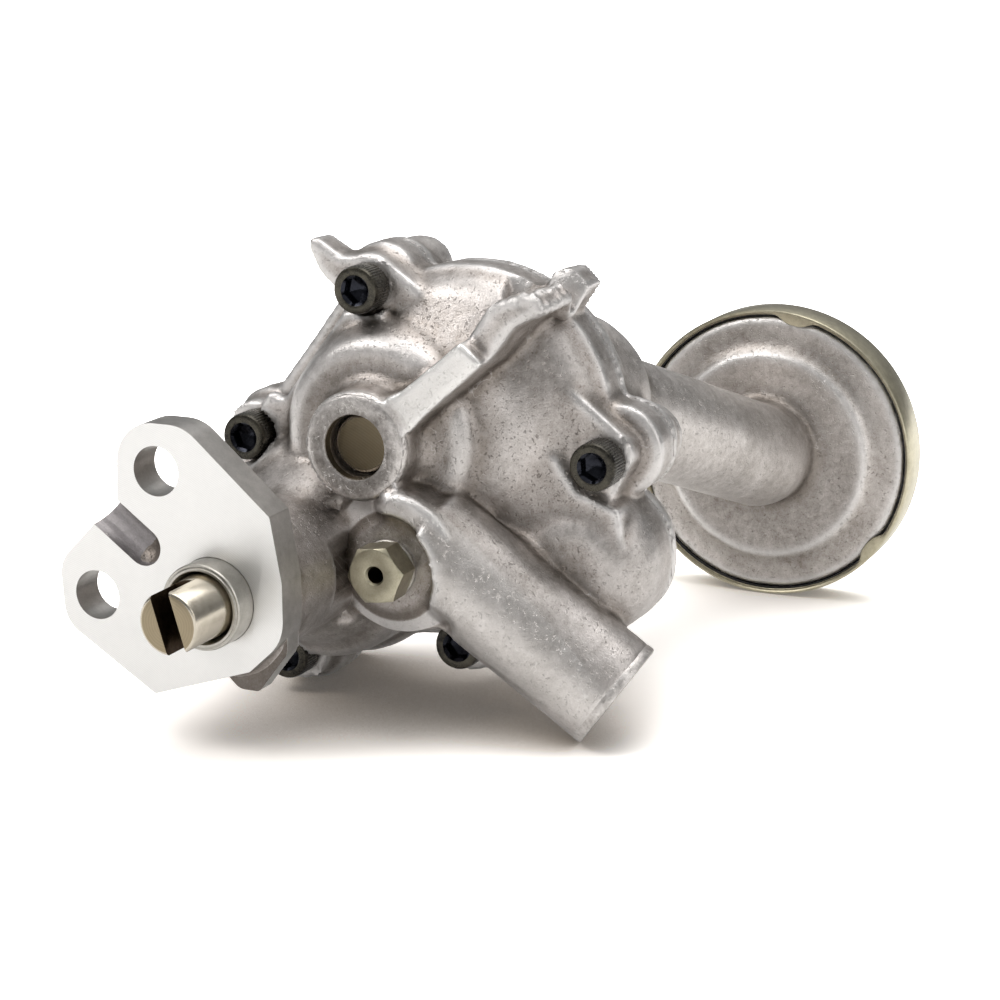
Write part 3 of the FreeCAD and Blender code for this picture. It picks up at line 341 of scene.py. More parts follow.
def band(values, start, full, last_full, end):
    """0 up to start, 1 from full to last_full, 0 again from end, with smooth steps between."""
    return fade(values, start, full) * fade(values, end, last_full)


everywhere = ((-FAR, -FAR), (FAR, FAR))
body_planes = [(0.0, *everywhere), (BOSS_FACE, IDLER - 12, IDLER + 12), (JOINT, *everywhere)]
body_planes += [(SCREW_SEAT, place - 5.5, place + 5.5) for place in SCREWS]
body_bores = [(place, 5.0, 0, 8) for place in MOUNT_HOLES]
body_bores += [(DRIVE, 8.0, 0, 20), (IDLER, 6.6, 29, 34), (DRIVE, 17.9, 43, 62), (IDLER, 17.9, 43, 62)]
body_bores += [(place, 5.8, 40, 48) for place in SCREWS]
# forms that the even mesh takes up: the tip of the upper lug, a pillow beside the socket, and
# two slabs that close the wall beside the left screw
body_extras = [
    slab([(-4.2, 62.2), (1.5, 60.5), (8.0, 61.2), (9.0, 55.0), (2.0, 54.0), (-2.0, 57.5)], 48.0, 56.0),
    slab([(34.0, 6.0), (50.0, -6.0), (62.0, -2.0), (67.0, 6.0), (66.0, 14.0), (57.0, 17.0), (52.0, 24.0),
          (40.0, 25.0), (33.0, 16.0)], 45.8, 58.0),
    slab([(-15.4, 27.6), (-13.0, 31.5), (-7.5, 30.0), (-9.0, 25.5), (-12.0, 25.3)], 45.6, 49.0),
    slab([(-11.6, 19.0), (-11.4, 25.6), (-8.0, 26.0), (-8.0, 19.0)], 45.6, 49.0),
]

points, quads, edges = even_mesh("pump_body", BODY_VOXEL, body_extras)
points, held = soften(points, quads, edges, body_planes, body_bores, 26, 4)
curl = bend(points, quads, edges)
# the fracture at the top of the rib's block, and shallow dents of the die all over
x, y, z = points.T
torn = fade(z, 52.5, 55.0) * band(x, 39.0, 42.0, 54.0, 57.0) * fade(y, 52.0, 48.0)
relief = 0.10 * lumps(points, 13.0, 3) + 0.045 * lumps(points, 4.5, 5)
relief += torn * (0.42 * lumps(points, 2.4, 7) + 0.25 * lumps(points, 1.3, 8))
points = sink(points, quads, (held - 1.0) * relief, 1.0)
x, y, z = points.T
# the jet's pocket is open to the left and below: its rim is pushed back to the floor there
jet_reach = reach_from(points, JET)
jet_angle = np.degrees(np.arctan2(z - JET[1], x - JET[0])) % 360
low_rim = band(jet_angle, 88, 112, 310, 335) * band(jet_reach, 6.0, POCKET_RADIUS, 16.0, 19.5)
low_rim *= (y > 24.0) & (y < 40.0)
y += low_rim * np.clip(POCKET_FLOOR + POCKET_SLOPE * (jet_reach - POCKET_RADIUS) - y, 0, None)
# a dip parts the rib's block from the ear behind it
dip = band(y, 48.5, 51.0, 53.5, 55.0) * fade(z, 51.0, 54.5) * fade(x, 38.0, 42.0)
z -= 3.6 * dip
x -= 1.6 * dip
# room for the crisp machined pieces
to_boss = reach_from(points, IDLER)
along = (points - SOCKET_END) @ SOCKET_RUN
off_axis = np.linalg.norm(points - SOCKET_END - along[:, None] * SOCKET_RUN, axis=1)
covered = fade(y, FLANGE_REAR + 0.3, FLANGE_REAR - 0.2)
covered = np.maximum(covered, fade(y, 31.8, 31.0) * (to_boss < 12.5))
covered = np.maximum(covered, fade(along, -2.4, -1.6) * (off_axis < 13.5))
points = sink(points, quads, covered, SUNK)
body_skin = add_piece("pump_body_cast", points, quads, "housing", ["pump_body"], 50)
x, y, z = points.T
# painted highlight: the front of rib and socket is painted lighter, more so towards the top
rubbed = fade(y, 31.4, 30.8) * fade(to_boss, 11.6, 12.6) * fade(x, 16.0, 22.0)
rubbed = rubbed * (0.30 + 0.70 * fade(z, 22.0, 27.0))
# the foot behind the flange stands in its shade, which is darkened on as painted shade
foot = fade(y, 24.0, 18.0) * fade(z, -15.0, -20.0)
# painted shade: hollow darkens the creases and the foot
hollow = np.clip(curl * CURL_GAIN + foot, 0, 1)
edge = np.clip(-curl * CURL_GAIN - foot, 0, 1)
mark_points(body_skin, rubbed=rubbed, hollow=hollow, edge=edge, torn=torn)

# %% The cover's skin, with suction arm and bell
COVER_VOXEL = 0.7
cover_planes = [(JOINT, *everywhere), (164.0, *everywhere)]
cover_bores = [(DRIVE, 8.0, 62, 79), (IDLER, 6.0, 62, 72)]
points, quads, edges = even_mesh("pump_cover", COVER_VOXEL)
points, held = soften(points, quads, edges, cover_planes, cover_bores, 30, 5)
curl = bend(points, quads, edges) * CURL_GAIN
relief = 0.09 * lumps(points, 14.0, 13) + 0.04 * lumps(points, 5.0, 15)
points = sink(points, quads, (held - 1.0) * relief, 1.0)
cover_skin = add_piece("pump_cover_cast", points, quads, "housing", ["pump_cover"], 50)
# painted shade: hollow darkens the cover's creases
mark_points(cover_skin, hollow=np.clip(curl, 0, 1), edge=np.clip(-curl, 0, 1))

# %% [markdown]
# The mounting flange is the CAD body's own front slice, cut off behind the plate and closed, so
# its holes, oil groove and corners stay exact. A narrow bevel catches the light along its edges.

# %% The machined flange plate
BEVEL = 0.18
CREASE = math.radians(40)
SAME_PLANE = math.radians(1.0)


def cad_slice(node, name, rear, body):
    """The part of a CAD node in front of a depth, its cut face closed and its edges bevelled."""
    built = bmesh.new()
    built.from_mesh(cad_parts[node].data)
    bmesh.ops.remove_doubles(built, verts=built.verts[:], dist=2 * WELD_DISTANCE * MM)
    everything = built.verts[:] + built.edges[:] + built.faces[:]
    cut = bmesh.ops.bisect_plane(built, geom=everything, plane_co=(0, rear * MM, 0),
                                 plane_no=(0, 1, 0), clear_outer=True)
    rim = [item for item in cut["geom_cut"] if isinstance(item, bmesh.types.BMEdge)]
    bmesh.ops.triangle_fill(built, edges=rim, use_beauty=True)
    bmesh.ops.dissolve_limit(built, angle_limit=SAME_PLANE, verts=built.verts[:],
                             edges=built.edges[:])
    bmesh.ops.recalc_face_normals(built, faces=built.faces[:])
    sharp = [edge for edge in built.edges
             if len(edge.link_faces) == 2 and edge.calc_face_angle() > CREASE]
    bmesh.ops.bevel(built, geom=sharp, offset=BEVEL * MM, segments=2, profile=0.5,
                    affect="EDGES", clamp_overlap=True)
    mesh = bpy.data.meshes.new(name)
    built.to_mesh(mesh)
    built.free()
    return tie_piece(new_object(name, mesh), body, [node], 20)


cad_slice("pump_body", "mounting_flange_milled", FLANGE_REAR - 0.3, "housing")

# %% [markdown]
# ## Turned pieces
# A turned piece is a profile carried round an axis. Hexagons and knurls come from the same
# surface: the radius at each angle is the smaller of the profile's and the hexagon's, which also
# gives a nut its curved chamfers, and a knurl adds a small wave to it.

# %% Surfaces of revolution
TURN_STEPS = 288


def hexagon_reach(across, angles, turn=0.0):
    """Distance from the middle to a hexagon's side: half the width over the cosine of the angle
    from the nearest flat's middle."""
    from_flat = (angles - math.radians(turn)) % (math.pi / 3) - math.pi / 6
    return across / 2 / np.cos(from_flat)


def turned(name, profile, place, body, nodes, shape=None, sharp=35.0):
    """A profile of (radius, Y) points carried round the line along Y at place. A profile that
    starts and ends on the axis closes there; any other closes on itself as a ring."""
    profile = np.array(profile, dtype=float)
    angles = np.arange(TURN_STEPS) * 2 * math.pi / TURN_STEPS
    capped = profile[0, 0] == 0 and profile[-1, 0] == 0
    rings = profile[1:-1] if capped else profile
    radius = np.repeat(rings[:, :1], TURN_STEPS, axis=1)
    depth = np.repeat(rings[:, 1:], TURN_STEPS, axis=1)
    if shape is not None:
        radius = shape(radius, depth, angles)
    across, up = radius * np.cos(angles), radius * np.sin(angles)
    points = np.stack([place[0] + across, depth, place[1] + up], axis=2).reshape(-1, 3)
    count = len(rings)
    rows = np.arange(count - 1 if capped else count)[:, None]
    step = np.arange(TURN_STEPS)
    after = (step + 1) % TURN_STEPS
    low, high = rows * TURN_STEPS, (rows + 1) % count * TURN_STEPS
    faces = np.stack([low + step, low + after, high + after, high + step], axis=2).reshape(-1, 4)
    if not capped:
        return add_piece(name, points, faces, body, nodes, sharp)
    poles = [(place[0], profile[end, 1], place[1]) for end in (0, -1)]
    points = np.concatenate([points, poles])
    first, last = np.full(TURN_STEPS, len(points) - 2), np.full(TURN_STEPS, len(points) - 1)
    base = (count - 1) * TURN_STEPS
    front = np.stack([first, after, step], axis=1)
    rear = np.stack([last, base + step, base + after], axis=1)
    fans = np.concatenate([front, rear])
    return add_capped(name, points, faces, fans, body, nodes, sharp)


def add_capped(name, points, quads, fans, body, nodes, sharp):
    """A piece of quads closed by fans of triangles at its poles."""
    if signed_volume(points, quads) + signed_volume(points, fans) < 0:
        quads, fans = quads[:, ::-1], fans[:, ::-1]
    mesh = bpy.data.meshes.new(name)
    mesh.from_pydata((points * MM).tolist(), [], quads.tolist() + fans.tolist())
    return tie_piece(new_object(name, mesh), body, nodes, sharp)


def hexagon_head(across, start, end, beyond, turn=0.0):
    """Radius rule: a hexagon between two depths, for radii over beyond."""
    def shape(radius, depth, angles):
        head = (depth > start) & (depth < end) & (radius > beyond)
        reach = hexagon_reach(across, angles, turn)[None, :]
        return np.where(head, np.minimum(radius, reach), radius)
    return shape


# %% [markdown]
# Two machined rings lie on the sunk places of the body's skin: the face round the idler's mouth
# and the end of the delivery socket, whose axis points down to the right.

# %% Machined rings of the body
turned("idler_boss_ring", [
    (6.6, 33.6), (6.6, 30.0), (6.75, 29.7), (7.0, 29.6), (9.3, 29.6), (10.1, 29.72),
    (10.7, 30.0), (11.1, 30.45), (11.3, 31.0), (11.2, 31.6), (10.6, 32.2), (8.0, 33.6)],
    IDLER, "housing", ["pump_body"])


def turn_to_axis(piece, start, run):
    """Moves a piece made round the Y axis so that +Y lies along run and its origin at start."""
    points = read_array(piece.data.vertices, "co", 3).astype(float)
    side = np.cross(run, (0.0, 0.0, 1.0))
    side /= np.linalg.norm(side)
    third = np.cross(side, run)
    points = points @ np.array([side, run, third]) + start * MM
    piece.data.vertices.foreach_set("co", points.astype(np.float32).ravel())
    piece.data.update()


socket_ring = turned("socket_end_ring", [
    (8.0, -8.0), (8.0, -0.5), (8.2, -0.1), (8.5, 0.0), (11.4, 0.0), (11.8, -0.15),
    (12.0, -0.5), (12.0, -1.6), (11.6, -2.9), (8.6, -8.0)],
    (0.0, 0.0), "housing", ["pump_body"])
turn_to_axis(socket_ring, SOCKET_END, SOCKET_RUN)

# %% [markdown]
# The cover screws are M6 socket-head screws. Their heads are knurled round the side and the
# socket is a hexagon with a shallow cone at its floor.

# %% Cover screws
HEAD_FRONT = 42.0
KNURLS = 48
KNURL_DEPTH = 0.11


def screw_shape(turn):
    """Radius rule for one screw: hexagon inside the socket, a knurl wave on the head's side."""
    def shape(radius, depth, angles):
        socket = (radius < 2.9) & (depth < 46.0)
        hexagon = hexagon_reach(5.0, angles, turn)[None, :]
        radius = np.where(socket, np.minimum(radius, hexagon), radius)
        side = (radius > 4.9) & (depth > 42.8) & (depth < 47.7)
        wave = KNURL_DEPTH * (np.abs(np.sin(angles * KNURLS / 2))[None, :] - 0.75)
        return np.where(side, radius + wave, radius)
    return shape


for index, place in enumerate(SCREWS, start=1):
    turned("cover_screw_%d" % index, [
        (0, 46.2), (1.2, 45.7), (2.88, 45.2), (2.89, 43.0), (2.89, 42.6), (3.15, 42.05),
        (3.3, 42.0), (4.35, 42.0), (4.7, 42.15), (4.86, 42.5), (4.93, 42.9), (4.95, 43.1),
        (4.95, 47.5), (4.95, 47.6), (4.8, 47.85), (4.6, 48.0), (3.0, 48.0), (3.0, 71.6),
        (2.6, 72.0), (0, 72.0)],
        place, "housing", ["cover_screws"], screw_shape(17.0 * index), 28)

# %% [markdown]
# The jet plug is a brass-coloured hexagon with a small drilling. Its washer peeks out behind it.

# %% Jet plug and washer
JET_WIDTH = 11.0
JET_TURN = 8.0
turned("jet_plug_turned", [
    (0, 31.0), (1.5, 30.6), (1.7, 30.4), (1.7, 25.2), (2.05, 24.65), (2.2, 24.6), (5.2, 24.6),
    (5.45, 24.64), (5.5, 24.67), (5.6, 24.73), (5.7, 24.79), (5.8, 24.85), (5.9, 24.91),
    (6.0, 24.97), (6.1, 25.03), (6.2, 25.09), (6.3, 25.15), (6.36, 25.2), (6.36, 30.4),
    (6.2, 30.5), (5.9, 30.6), (3.98, 30.6), (3.98, 36.2), (3.6, 36.6), (0, 36.6)],
    JET, "housing", ["jet_plug"],
    hexagon_head(JET_WIDTH, 24.5, 30.65, 3.0, JET_TURN), 25)
turned("jet_washer_turned", [
    (4.1, 30.6), (5.7, 30.6), (5.9, 30.8), (5.9, 31.4), (5.7, 31.6), (4.1, 31.6)],
    JET, "housing", ["jet_plug_washer"])

# %% [markdown]
# The front bush has a conical mouth and a low step round its front. The idler's fixed axle ends
# inside the mouth of its boss.

# %% Bush and axle
turned("front_bush_turned", [
    (6.53, 20.0), (6.53, -2.4), (7.25, -5.5), (7.4, -5.68), (7.6, -5.7), (7.85, -5.7),
    (7.95, -5.45), (8.1, -5.4), (8.25, -5.45), (8.45, -5.4), (8.6, -5.2), (8.65, -5.0),
    (8.65, -0.02), (8.0, -0.02), (8.0, 20.0)],
    DRIVE, "housing", ["front_bush"])
turned("idler_axle_turned", [
    (0, 33.2), (2.0, 33.2), (5.4, 33.2), (5.8, 33.45), (6.0, 33.8), (6.0, 72.0), (0, 72.0)],
    IDLER, "housing", ["idler_shaft"], sharp=20)

# %% [markdown]
# The drive shaft's end has a slot milled across it. The plain round shaft is turned first and the
# slot is cut with a Boolean modifier, which is then applied.

# %% Drive shaft with its slot
SLOT_WIDTH = 4.2
SLOT_DEPTH = 9.0
SLOT_LEAN = math.radians(17.0)
SHAFT_FRONT = -17.3


def block(name, centre, sizes, lean):
    """A box in millimetres, turned about Y so that its top leans to the left."""
    signs = np.array([(x, y, z) for x in (-1, 1) for y in (-1, 1) for z in (-1, 1)])
    points = signs * np.array(sizes) / 2
    x = points[:, 0] * math.cos(lean) - points[:, 2] * math.sin(lean)
    z = points[:, 0] * math.sin(lean) + points[:, 2] * math.cos(lean)
    points = np.stack([x, points[:, 1], z], axis=1) + centre
    faces = [(0, 1, 3, 2), (4, 6, 7, 5), (0, 4, 5, 1), (2, 3, 7, 6), (0, 2, 6, 4), (1, 5, 7, 3)]
    mesh = bpy.data.meshes.new(name)
    mesh.from_pydata((points * MM).tolist(), [], faces)
    return new_object(name, mesh)


shaft = turned("drive_shaft_turned", [
    (0, SHAFT_FRONT), (3.0, SHAFT_FRONT), (5.7, SHAFT_FRONT), (6.1, SHAFT_FRONT + 0.2),
    (6.3, SHAFT_FRONT + 0.6), (6.3, -6.2), (6.5, -5.8), (6.5, 43.5), (6.5, 79.0), (0, 79.0)],
    DRIVE, "drive_train", ["drive_shaft"])
cutter = block("slot_cutter", (0, SHAFT_FRONT + SLOT_DEPTH / 2 - 1, 0),
               (SLOT_WIDTH, SLOT_DEPTH + 2, 20.0), SLOT_LEAN)
slot_cut = shaft.modifiers.new("slot", "BOOLEAN")
slot_cut.object = cutter
slot_cut.operation = "DIFFERENCE"
slot_cut.solver = "EXACT"
edge_break = shaft.modifiers.new("edge", "BEVEL")
edge_break.width = 0.15 * MM
edge_break.segments = 2
edge_break.limit_method = "ANGLE"
edge_break.angle_limit = math.radians(50)
bpy.context.view_layer.update()
cut = bpy.data.meshes.new_from_object(shaft.evaluated_get(bpy.context.evaluated_depsgraph_get()))
shaft.modifiers.clear()
shaft.data = cut
cut.set_sharp_from_angle(angle=math.radians(35))
bpy.data.objects.remove(cutter)
print("shaft end cut, faces:", len(cut.polygons))

# %% [markdown]
# ## The strainer
# A pressed ring holds screen and seal on the bell. It is one turned profile whose front lip is
# folded over the casting at three tabs. The screen is woven wire cloth: a height field in which
# the wires of each direction rise and sink in turn.

# %% Retainer ring, seal and screen
BELL = np.array([61.0, 1.8])
BELL_FRONT = 154.0
TAB_ANGLES = np.radians([80.0, -38.0, 200.0])
TAB_HALF_WIDTH = 0.10
TAB_REACH = 2.0


def tab_fold(radius, depth, angles):
    """The lip's inner rings reach further in at the three tabs. The bump is a logistic curve of
    the angle (radians) from the nearest tab's middle."""
    turn = (angles[:, None] - TAB_ANGLES[None, :] + math.pi) % (2 * math.pi) - math.pi
    gap = np.abs(turn).min(axis=1)
    fold = 1 / (1 + np.exp((gap - TAB_HALF_WIDTH) / 0.02))
    lip = (depth < 156.9) & (radius < 34.1)
    return np.where(lip, radius - TAB_REACH * fold[None, :], radius)


turned("strainer_retainer_pressed", [
    (33.75, 156.75), (33.8, 156.45), (33.95, 156.2), (34.25, 156.05), (34.6, 156.15),
    (34.8, 156.6), (34.8, 165.6), (34.6, 166.4), (34.0, 166.9), (26.4, 166.9), (26.0, 166.7),
    (26.0, 166.2), (26.3, 166.0), (33.9, 166.0), (33.9, 157.0), (33.6, 156.9)],
    BELL, "housing", ["strainer_retainer"], tab_fold)
turned("strainer_seal_ring", [(33.3, 157.4), (33.9, 157.4), (33.9, 165.0), (33.3, 165.0)],
       BELL, "housing", ["strainer_seal"])

# %% Wire cloth
CLOTH_PITCH = 1.5
CLOTH_STEP = CLOTH_PITCH / 5
CLOTH_RADIUS = 33.2
CLOTH_THICKNESS = 1.0


def wire_cloth(radius, front, thickness):
    """Height over the plane: for wires along X the sine along X times the sign that changes from
    wire to wire, times a round cross-section in Z, and the same for wires along Z; the higher
    of the two is seen."""
    side = np.arange(-radius, radius + CLOTH_STEP, CLOTH_STEP)
    x, z = np.meshgrid(side, side, indexing="ij")
    away = np.hypot(x, z)
    pull = np.minimum(1.0, radius / np.maximum(away, 1e-9))
    x, z = x * pull, z * pull
    phase_x, phase_z = math.pi * x / CLOTH_PITCH, math.pi * z / CLOTH_PITCH
    along_x = np.abs(np.cos(phase_z)) + 0.5 * np.cos(phase_x) * np.sign(np.cos(phase_z))
    along_z = np.abs(np.cos(phase_x)) - 0.5 * np.cos(phase_z) * np.sign(np.cos(phase_x))
    height = thickness * 0.5 * np.maximum(along_x, along_z) / 1.5
    top = np.stack([x + BELL[0], front + thickness * 0.5 + height, z + BELL[1]], axis=2)
    low = np.stack([x + BELL[0], np.full_like(x, front), z + BELL[1]], axis=2)
    return top, low


top, low = wire_cloth(CLOTH_RADIUS, BELL_FRONT + 10.0, CLOTH_THICKNESS)
count = len(top)
cell = (np.arange(count - 1)[:, None] * count + np.arange(count - 1)[None, :]).ravel()
upper = np.stack([cell, cell + 1, cell + count + 1, cell + count], axis=1)
shift = count * count
rim = np.concatenate([np.arange(count - 1), np.arange(count - 1) * count + count - 1,
                      shift - 1 - np.arange(count - 1), shift - count - np.arange(count - 1) * count])
following = np.roll(rim, -1)
wall = np.stack([rim, following, following + shift, rim + shift], axis=1)
faces = np.concatenate([upper, upper[:, ::-1] + shift, wall[:, ::-1]])
add_piece("strainer_cloth", np.concatenate([top.reshape(-1, 3), low.reshape(-1, 3)]), faces,
          "housing", ["strainer_screen"], 60)

# %% [markdown]
# The relief valve's cap is turned with a hexagon head, 22 mm across its flats.

# %% Relief cap
CAP_WIDTH = 22.0
turned("relief_cap_turned", [
    (0, 74.0), (8.4, 74.0), (8.98, 74.7), (8.98, 81.0), (10.9, 81.0), (12.7, 81.6),
    (12.7, 87.6), (12.0, 88.3), (11.2, 88.8), (10.4, 89.0), (6.0, 89.0), (5.4, 88.4), (0, 88.4)],
    RELIEF, "housing", ["relief_cap"], hexagon_head(CAP_WIDTH, 81.05, FAR, 9.5), 25)

# %% [markdown]
# ## Finishes
# The metals share three effects, each a node group: "metal_grain" gives pits and mottling from
# noise at four sizes, "scratches" short bright lines, and "tool_marks" the fine arcs that a
# milling cutter or a lathe leaves. Object coordinates are in metres, so a noise scale of 1000
# has features of about a millimetre.

# %% Node helpers
def feed(tree, socket, value):
    """Sets a socket to a number or a colour, or links another socket to it."""
    if isinstance(value, (int, float)):
        socket.default_value = value
    elif isinstance(value, tuple):
        socket.default_value = (*value, 1)
    else:
        tree.links.new(value, socket)


def math_node(tree, operation, *values, clamp=False):
    """A Math node; each value is a number or a socket."""
    node = tree.nodes.new("ShaderNodeMath")
    node.operation = operation
    node.use_clamp = clamp
    for socket, value in zip(node.inputs, values):
        feed(tree, socket, value)
    return node.outputs[0]


def ramp_node(tree, factor, stops):
    """A colour ramp with (place, colour or grey) stops."""
    node = tree.nodes.new("ShaderNodeValToRGB")
    ramp = node.color_ramp
    while len(ramp.elements) < len(stops):
        ramp.elements.new(0.5)
    for element, (place, colour) in zip(ramp.elements, stops):
        element.position = place
        element.color = (*colour, 1) if isinstance(colour, tuple) else (colour, colour, colour, 1)
    tree.links.new(factor, node.inputs["Fac"])
    return node.outputs["Color"]


def mix_colour(tree, factor, first, second):
    """A colour Mix node; each input is a colour, a number or a socket."""
    node = tree.nodes.new("ShaderNodeMix")
    node.data_type = "RGBA"
    for index, value in ((0, factor), (6, first), (7, second)):
        feed(tree, node.inputs[index], value)
    return node.outputs[2]


def new_group(name, inputs, *outputs):
    """An empty shader node group with float inputs (name: default) and float outputs (names).
    Returns the group, the inputs' and outputs' sockets inside it, and the object coordinates."""
    group = bpy.data.node_groups.new(name, "ShaderNodeTree")
    for title, default in inputs.items():
        socket = group.interface.new_socket(title, in_out="INPUT", socket_type="NodeSocketFloat")
        socket.default_value = default
    for title in outputs:
        group.interface.new_socket(title, in_out="OUTPUT", socket_type="NodeSocketFloat")
    entry = group.nodes.new("NodeGroupInput")
    leave = group.nodes.new("NodeGroupOutput")
    place = group.nodes.new("ShaderNodeTexCoord")
    return group, entry.outputs, leave.inputs, place.outputs["Object"]


def group_node(tree, group, settings):
    """A node group in a tree, with the settings (name: number) on its inputs."""
    node = tree.nodes.new("ShaderNodeGroup")
    node.node_tree = group
    for title, value in settings.items():
        node.inputs[title].default_value = value
    return node


def noise(tree, vector, scale, detail=4.0, roughness=0.6):
    """A noise texture's value; scale is a number or a socket."""
    node = tree.nodes.new("ShaderNodeTexNoise")
    node.inputs["Detail"].default_value = detail
    node.inputs["Roughness"].default_value = roughness
    tree.links.new(vector, node.inputs["Vector"])
    feed(tree, node.inputs["Scale"], scale)
    return node.outputs["Fac"]


def swing(tree, value, gain, base, clamp=False):
    """base + gain * (value - 0.5)."""
    off = math_node(tree, "SUBTRACT", value, 0.5)
    return math_node(tree, "MULTIPLY_ADD", off, gain, base, clamp=clamp)


def along_y(tree):
    """The Y part of a face's true normal."""
    geometry = tree.nodes.new("ShaderNodeNewGeometry")
    split = tree.nodes.new("ShaderNodeSeparateXYZ")
    tree.links.new(geometry.outputs["True Normal"], split.inputs[0])
    return split.outputs[1]


# %% Metal grain group
grain, taken, given, place = new_group(
    "metal_grain", {"Fine Scale": 2600.0, "Pit Depth": 0.5, "Mottle": 0.5},
    "Tone", "Rough", "Height", "Speck")
fine = noise(grain, place, taken["Fine Scale"], 3.0, 0.65)
middle = noise(grain, place, 520.0, 6.0, 0.68)
broad = noise(grain, place, 75.0, 3.0, 0.55)
pits = ramp_node(grain, noise(grain, place, 1300.0, 3.0, 0.6), [(0.30, 0.0), (0.40, 1.0)])
tone = swing(grain, middle, 1.5, 0.5)
tone = swing(grain, broad, 1.3, tone)
tone = swing(grain, fine, 0.9, tone)
tone = swing(grain, tone, taken["Mottle"], 0.5, clamp=True)
rough = swing(grain, middle, taken["Mottle"], 0.5, clamp=True)
height = math_node(grain, "MULTIPLY_ADD", fine, 0.7, middle)
height = math_node(grain, "MULTIPLY_ADD", pits, taken["Pit Depth"], height)
speck = math_node(grain, "SUBTRACT", 1.0, pits)
for title, value in (("Tone", tone), ("Rough", rough), ("Height", height), ("Speck", speck)):
    grain.links.new(value, given[title])
print("group", grain.name, "has", len(grain.nodes), "nodes")

# %% [markdown]
# Handling leaves fine scratches. Noise that is stretched far along one direction has long narrow
# bands, and a narrow window of its values draws thin lines along them. A second, broad noise
# breaks them up into patches.

# %% Scratches group
scratches, taken, given, place = new_group("scratches", {"Scale": 300.0, "Slant": 0.5}, "Line")
turn = scratches.nodes.new("ShaderNodeVectorRotate")
turn.rotation_type = "EULER_XYZ"
scratches.links.new(place, turn.inputs["Vector"])
angles = scratches.nodes.new("ShaderNodeCombineXYZ")
scratches.links.new(taken["Slant"], angles.inputs[0])
scratches.links.new(taken["Slant"], angles.inputs[1])
scratches.links.new(angles.outputs[0], turn.inputs["Rotation"])
stretch = scratches.nodes.new("ShaderNodeVectorMath")
stretch.operation = "MULTIPLY"
stretch.inputs[1].default_value = (1.0, 0.08, 1.6)
scratches.links.new(turn.outputs[0], stretch.inputs[0])
lines = noise(scratches, stretch.outputs[0], taken["Scale"], 2.0, 0.5)
thin = ramp_node(scratches, lines, [(0.485, 0.0), (0.5, 1.0), (0.515, 0.0)])
patches = ramp_node(scratches, noise(scratches, place, 110.0, 2.0), [(0.50, 0.0), (0.62, 1.0)])
scratches.links.new(math_node(scratches, "MULTIPLY", thin, patches), given["Line"])
print("group", scratches.name, "has", len(scratches.nodes), "nodes")

# %% Tool marks group
marks, taken, given, place = new_group(
    "tool_marks", {"Centre X": 0.0, "Centre Z": 0.0, "Pitch": 4000.0}, "Line")
split = marks.nodes.new("ShaderNodeSeparateXYZ")
marks.links.new(place, split.inputs[0])
x = math_node(marks, "SUBTRACT", split.outputs[0], taken["Centre X"])
z = math_node(marks, "SUBTRACT", split.outputs[2], taken["Centre Z"])
square = math_node(marks, "MULTIPLY_ADD", x, x, math_node(marks, "MULTIPLY", z, z))
reach = math_node(marks, "SQRT", square)
reach = math_node(marks, "MULTIPLY_ADD", noise(marks, place, 160.0, 2.0), 0.0006, reach)
wave = math_node(marks, "SINE", math_node(marks, "MULTIPLY", reach, taken["Pitch"]))
marks.links.new(math_node(marks, "MULTIPLY_ADD", wave, 0.5, 0.5), given["Line"])
print("group", marks.name, "has", len(marks.nodes), "nodes")


# %% [markdown]
# A metal is a Principled shader with Metallic 1. Its colour is mixed between a dark and a light
# tone by the grain, and its roughness between a low and a high value.

# %% Metal maker
BUMP_DISTANCE = 0.00012
FLAT = 0.95


def grey(tree, factor, low, high):
    """A number between low and high, by a factor from 0 to 1."""
    return math_node(tree, "MULTIPLY_ADD", factor, high - low, low)


def metal(name, dark, light, rough_low, rough_high, bump,
          fine_scale=2600.0, pit=0.5, mottle=0.9, metallic=1.0):
    """A metal whose colour and roughness follow the grain group. Returns the material, its tree
    and shader, the sockets of colour and roughness, and the node of the grain."""
    material = bpy.data.materials.new(name)
    material.use_nodes = True
    tree = material.node_tree
    shader = tree.nodes["Principled BSDF"]
    shader.inputs["Metallic"].default_value = metallic
    texture = group_node(tree, grain, {"Fine Scale": fine_scale, "Pit Depth": pit, "Mottle": mottle})
    colour = mix_colour(tree, texture.outputs["Tone"], dark, light)
    rough = grey(tree, texture.outputs["Rough"], rough_low, rough_high)
    bump_node = tree.nodes.new("ShaderNodeBump")
    bump_node.inputs["Strength"].default_value = bump
    bump_node.inputs["Distance"].default_value = BUMP_DISTANCE
    tree.links.new(texture.outputs["Height"], bump_node.inputs["Height"])
    tree.links.new(colour, shader.inputs["Base Color"])
    tree.links.new(rough, shader.inputs["Roughness"])
    tree.links.new(bump_node.outputs["Normal"], shader.inputs["Normal"])
    return material, tree, shader, colour, rough, texture


def paint_faces(name, material, chosen):
    """Gives a second material to the faces that chosen(centres in millimetres, normals) picks."""
    mesh = bpy.data.objects[name].data
    faces = mesh.polygons
    picked = chosen(read_array(faces, "center", 3) / MM, read_array(faces, "normal", 3))
    held = read_array(faces, "material_index", 1, np.int32).ravel()
    mesh.materials.append(material)
    index = np.where(picked, len(mesh.materials) - 1, held).astype(np.int32)
    faces.foreach_set("material_index", index)
    print(name, "has", int(picked.sum()), "faces in", material.name)


def near(centre, radius, start=-FAR, end=FAR):
    """Picks faces by their distance from the line along Y through centre, between two depths."""
    def chosen(centres, normals):
        depth = centres[:, 1]
        return (reach_from(centres, centre) < radius) & (depth > start) & (depth < end)
    return chosen


def paint(material, *names):
    """Gives a material to new pieces and CAD nodes by name."""
    for name in names:
        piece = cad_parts.get(name) or bpy.data.objects[name]
        piece.data.materials.clear()
        piece.data.materials.append(material)


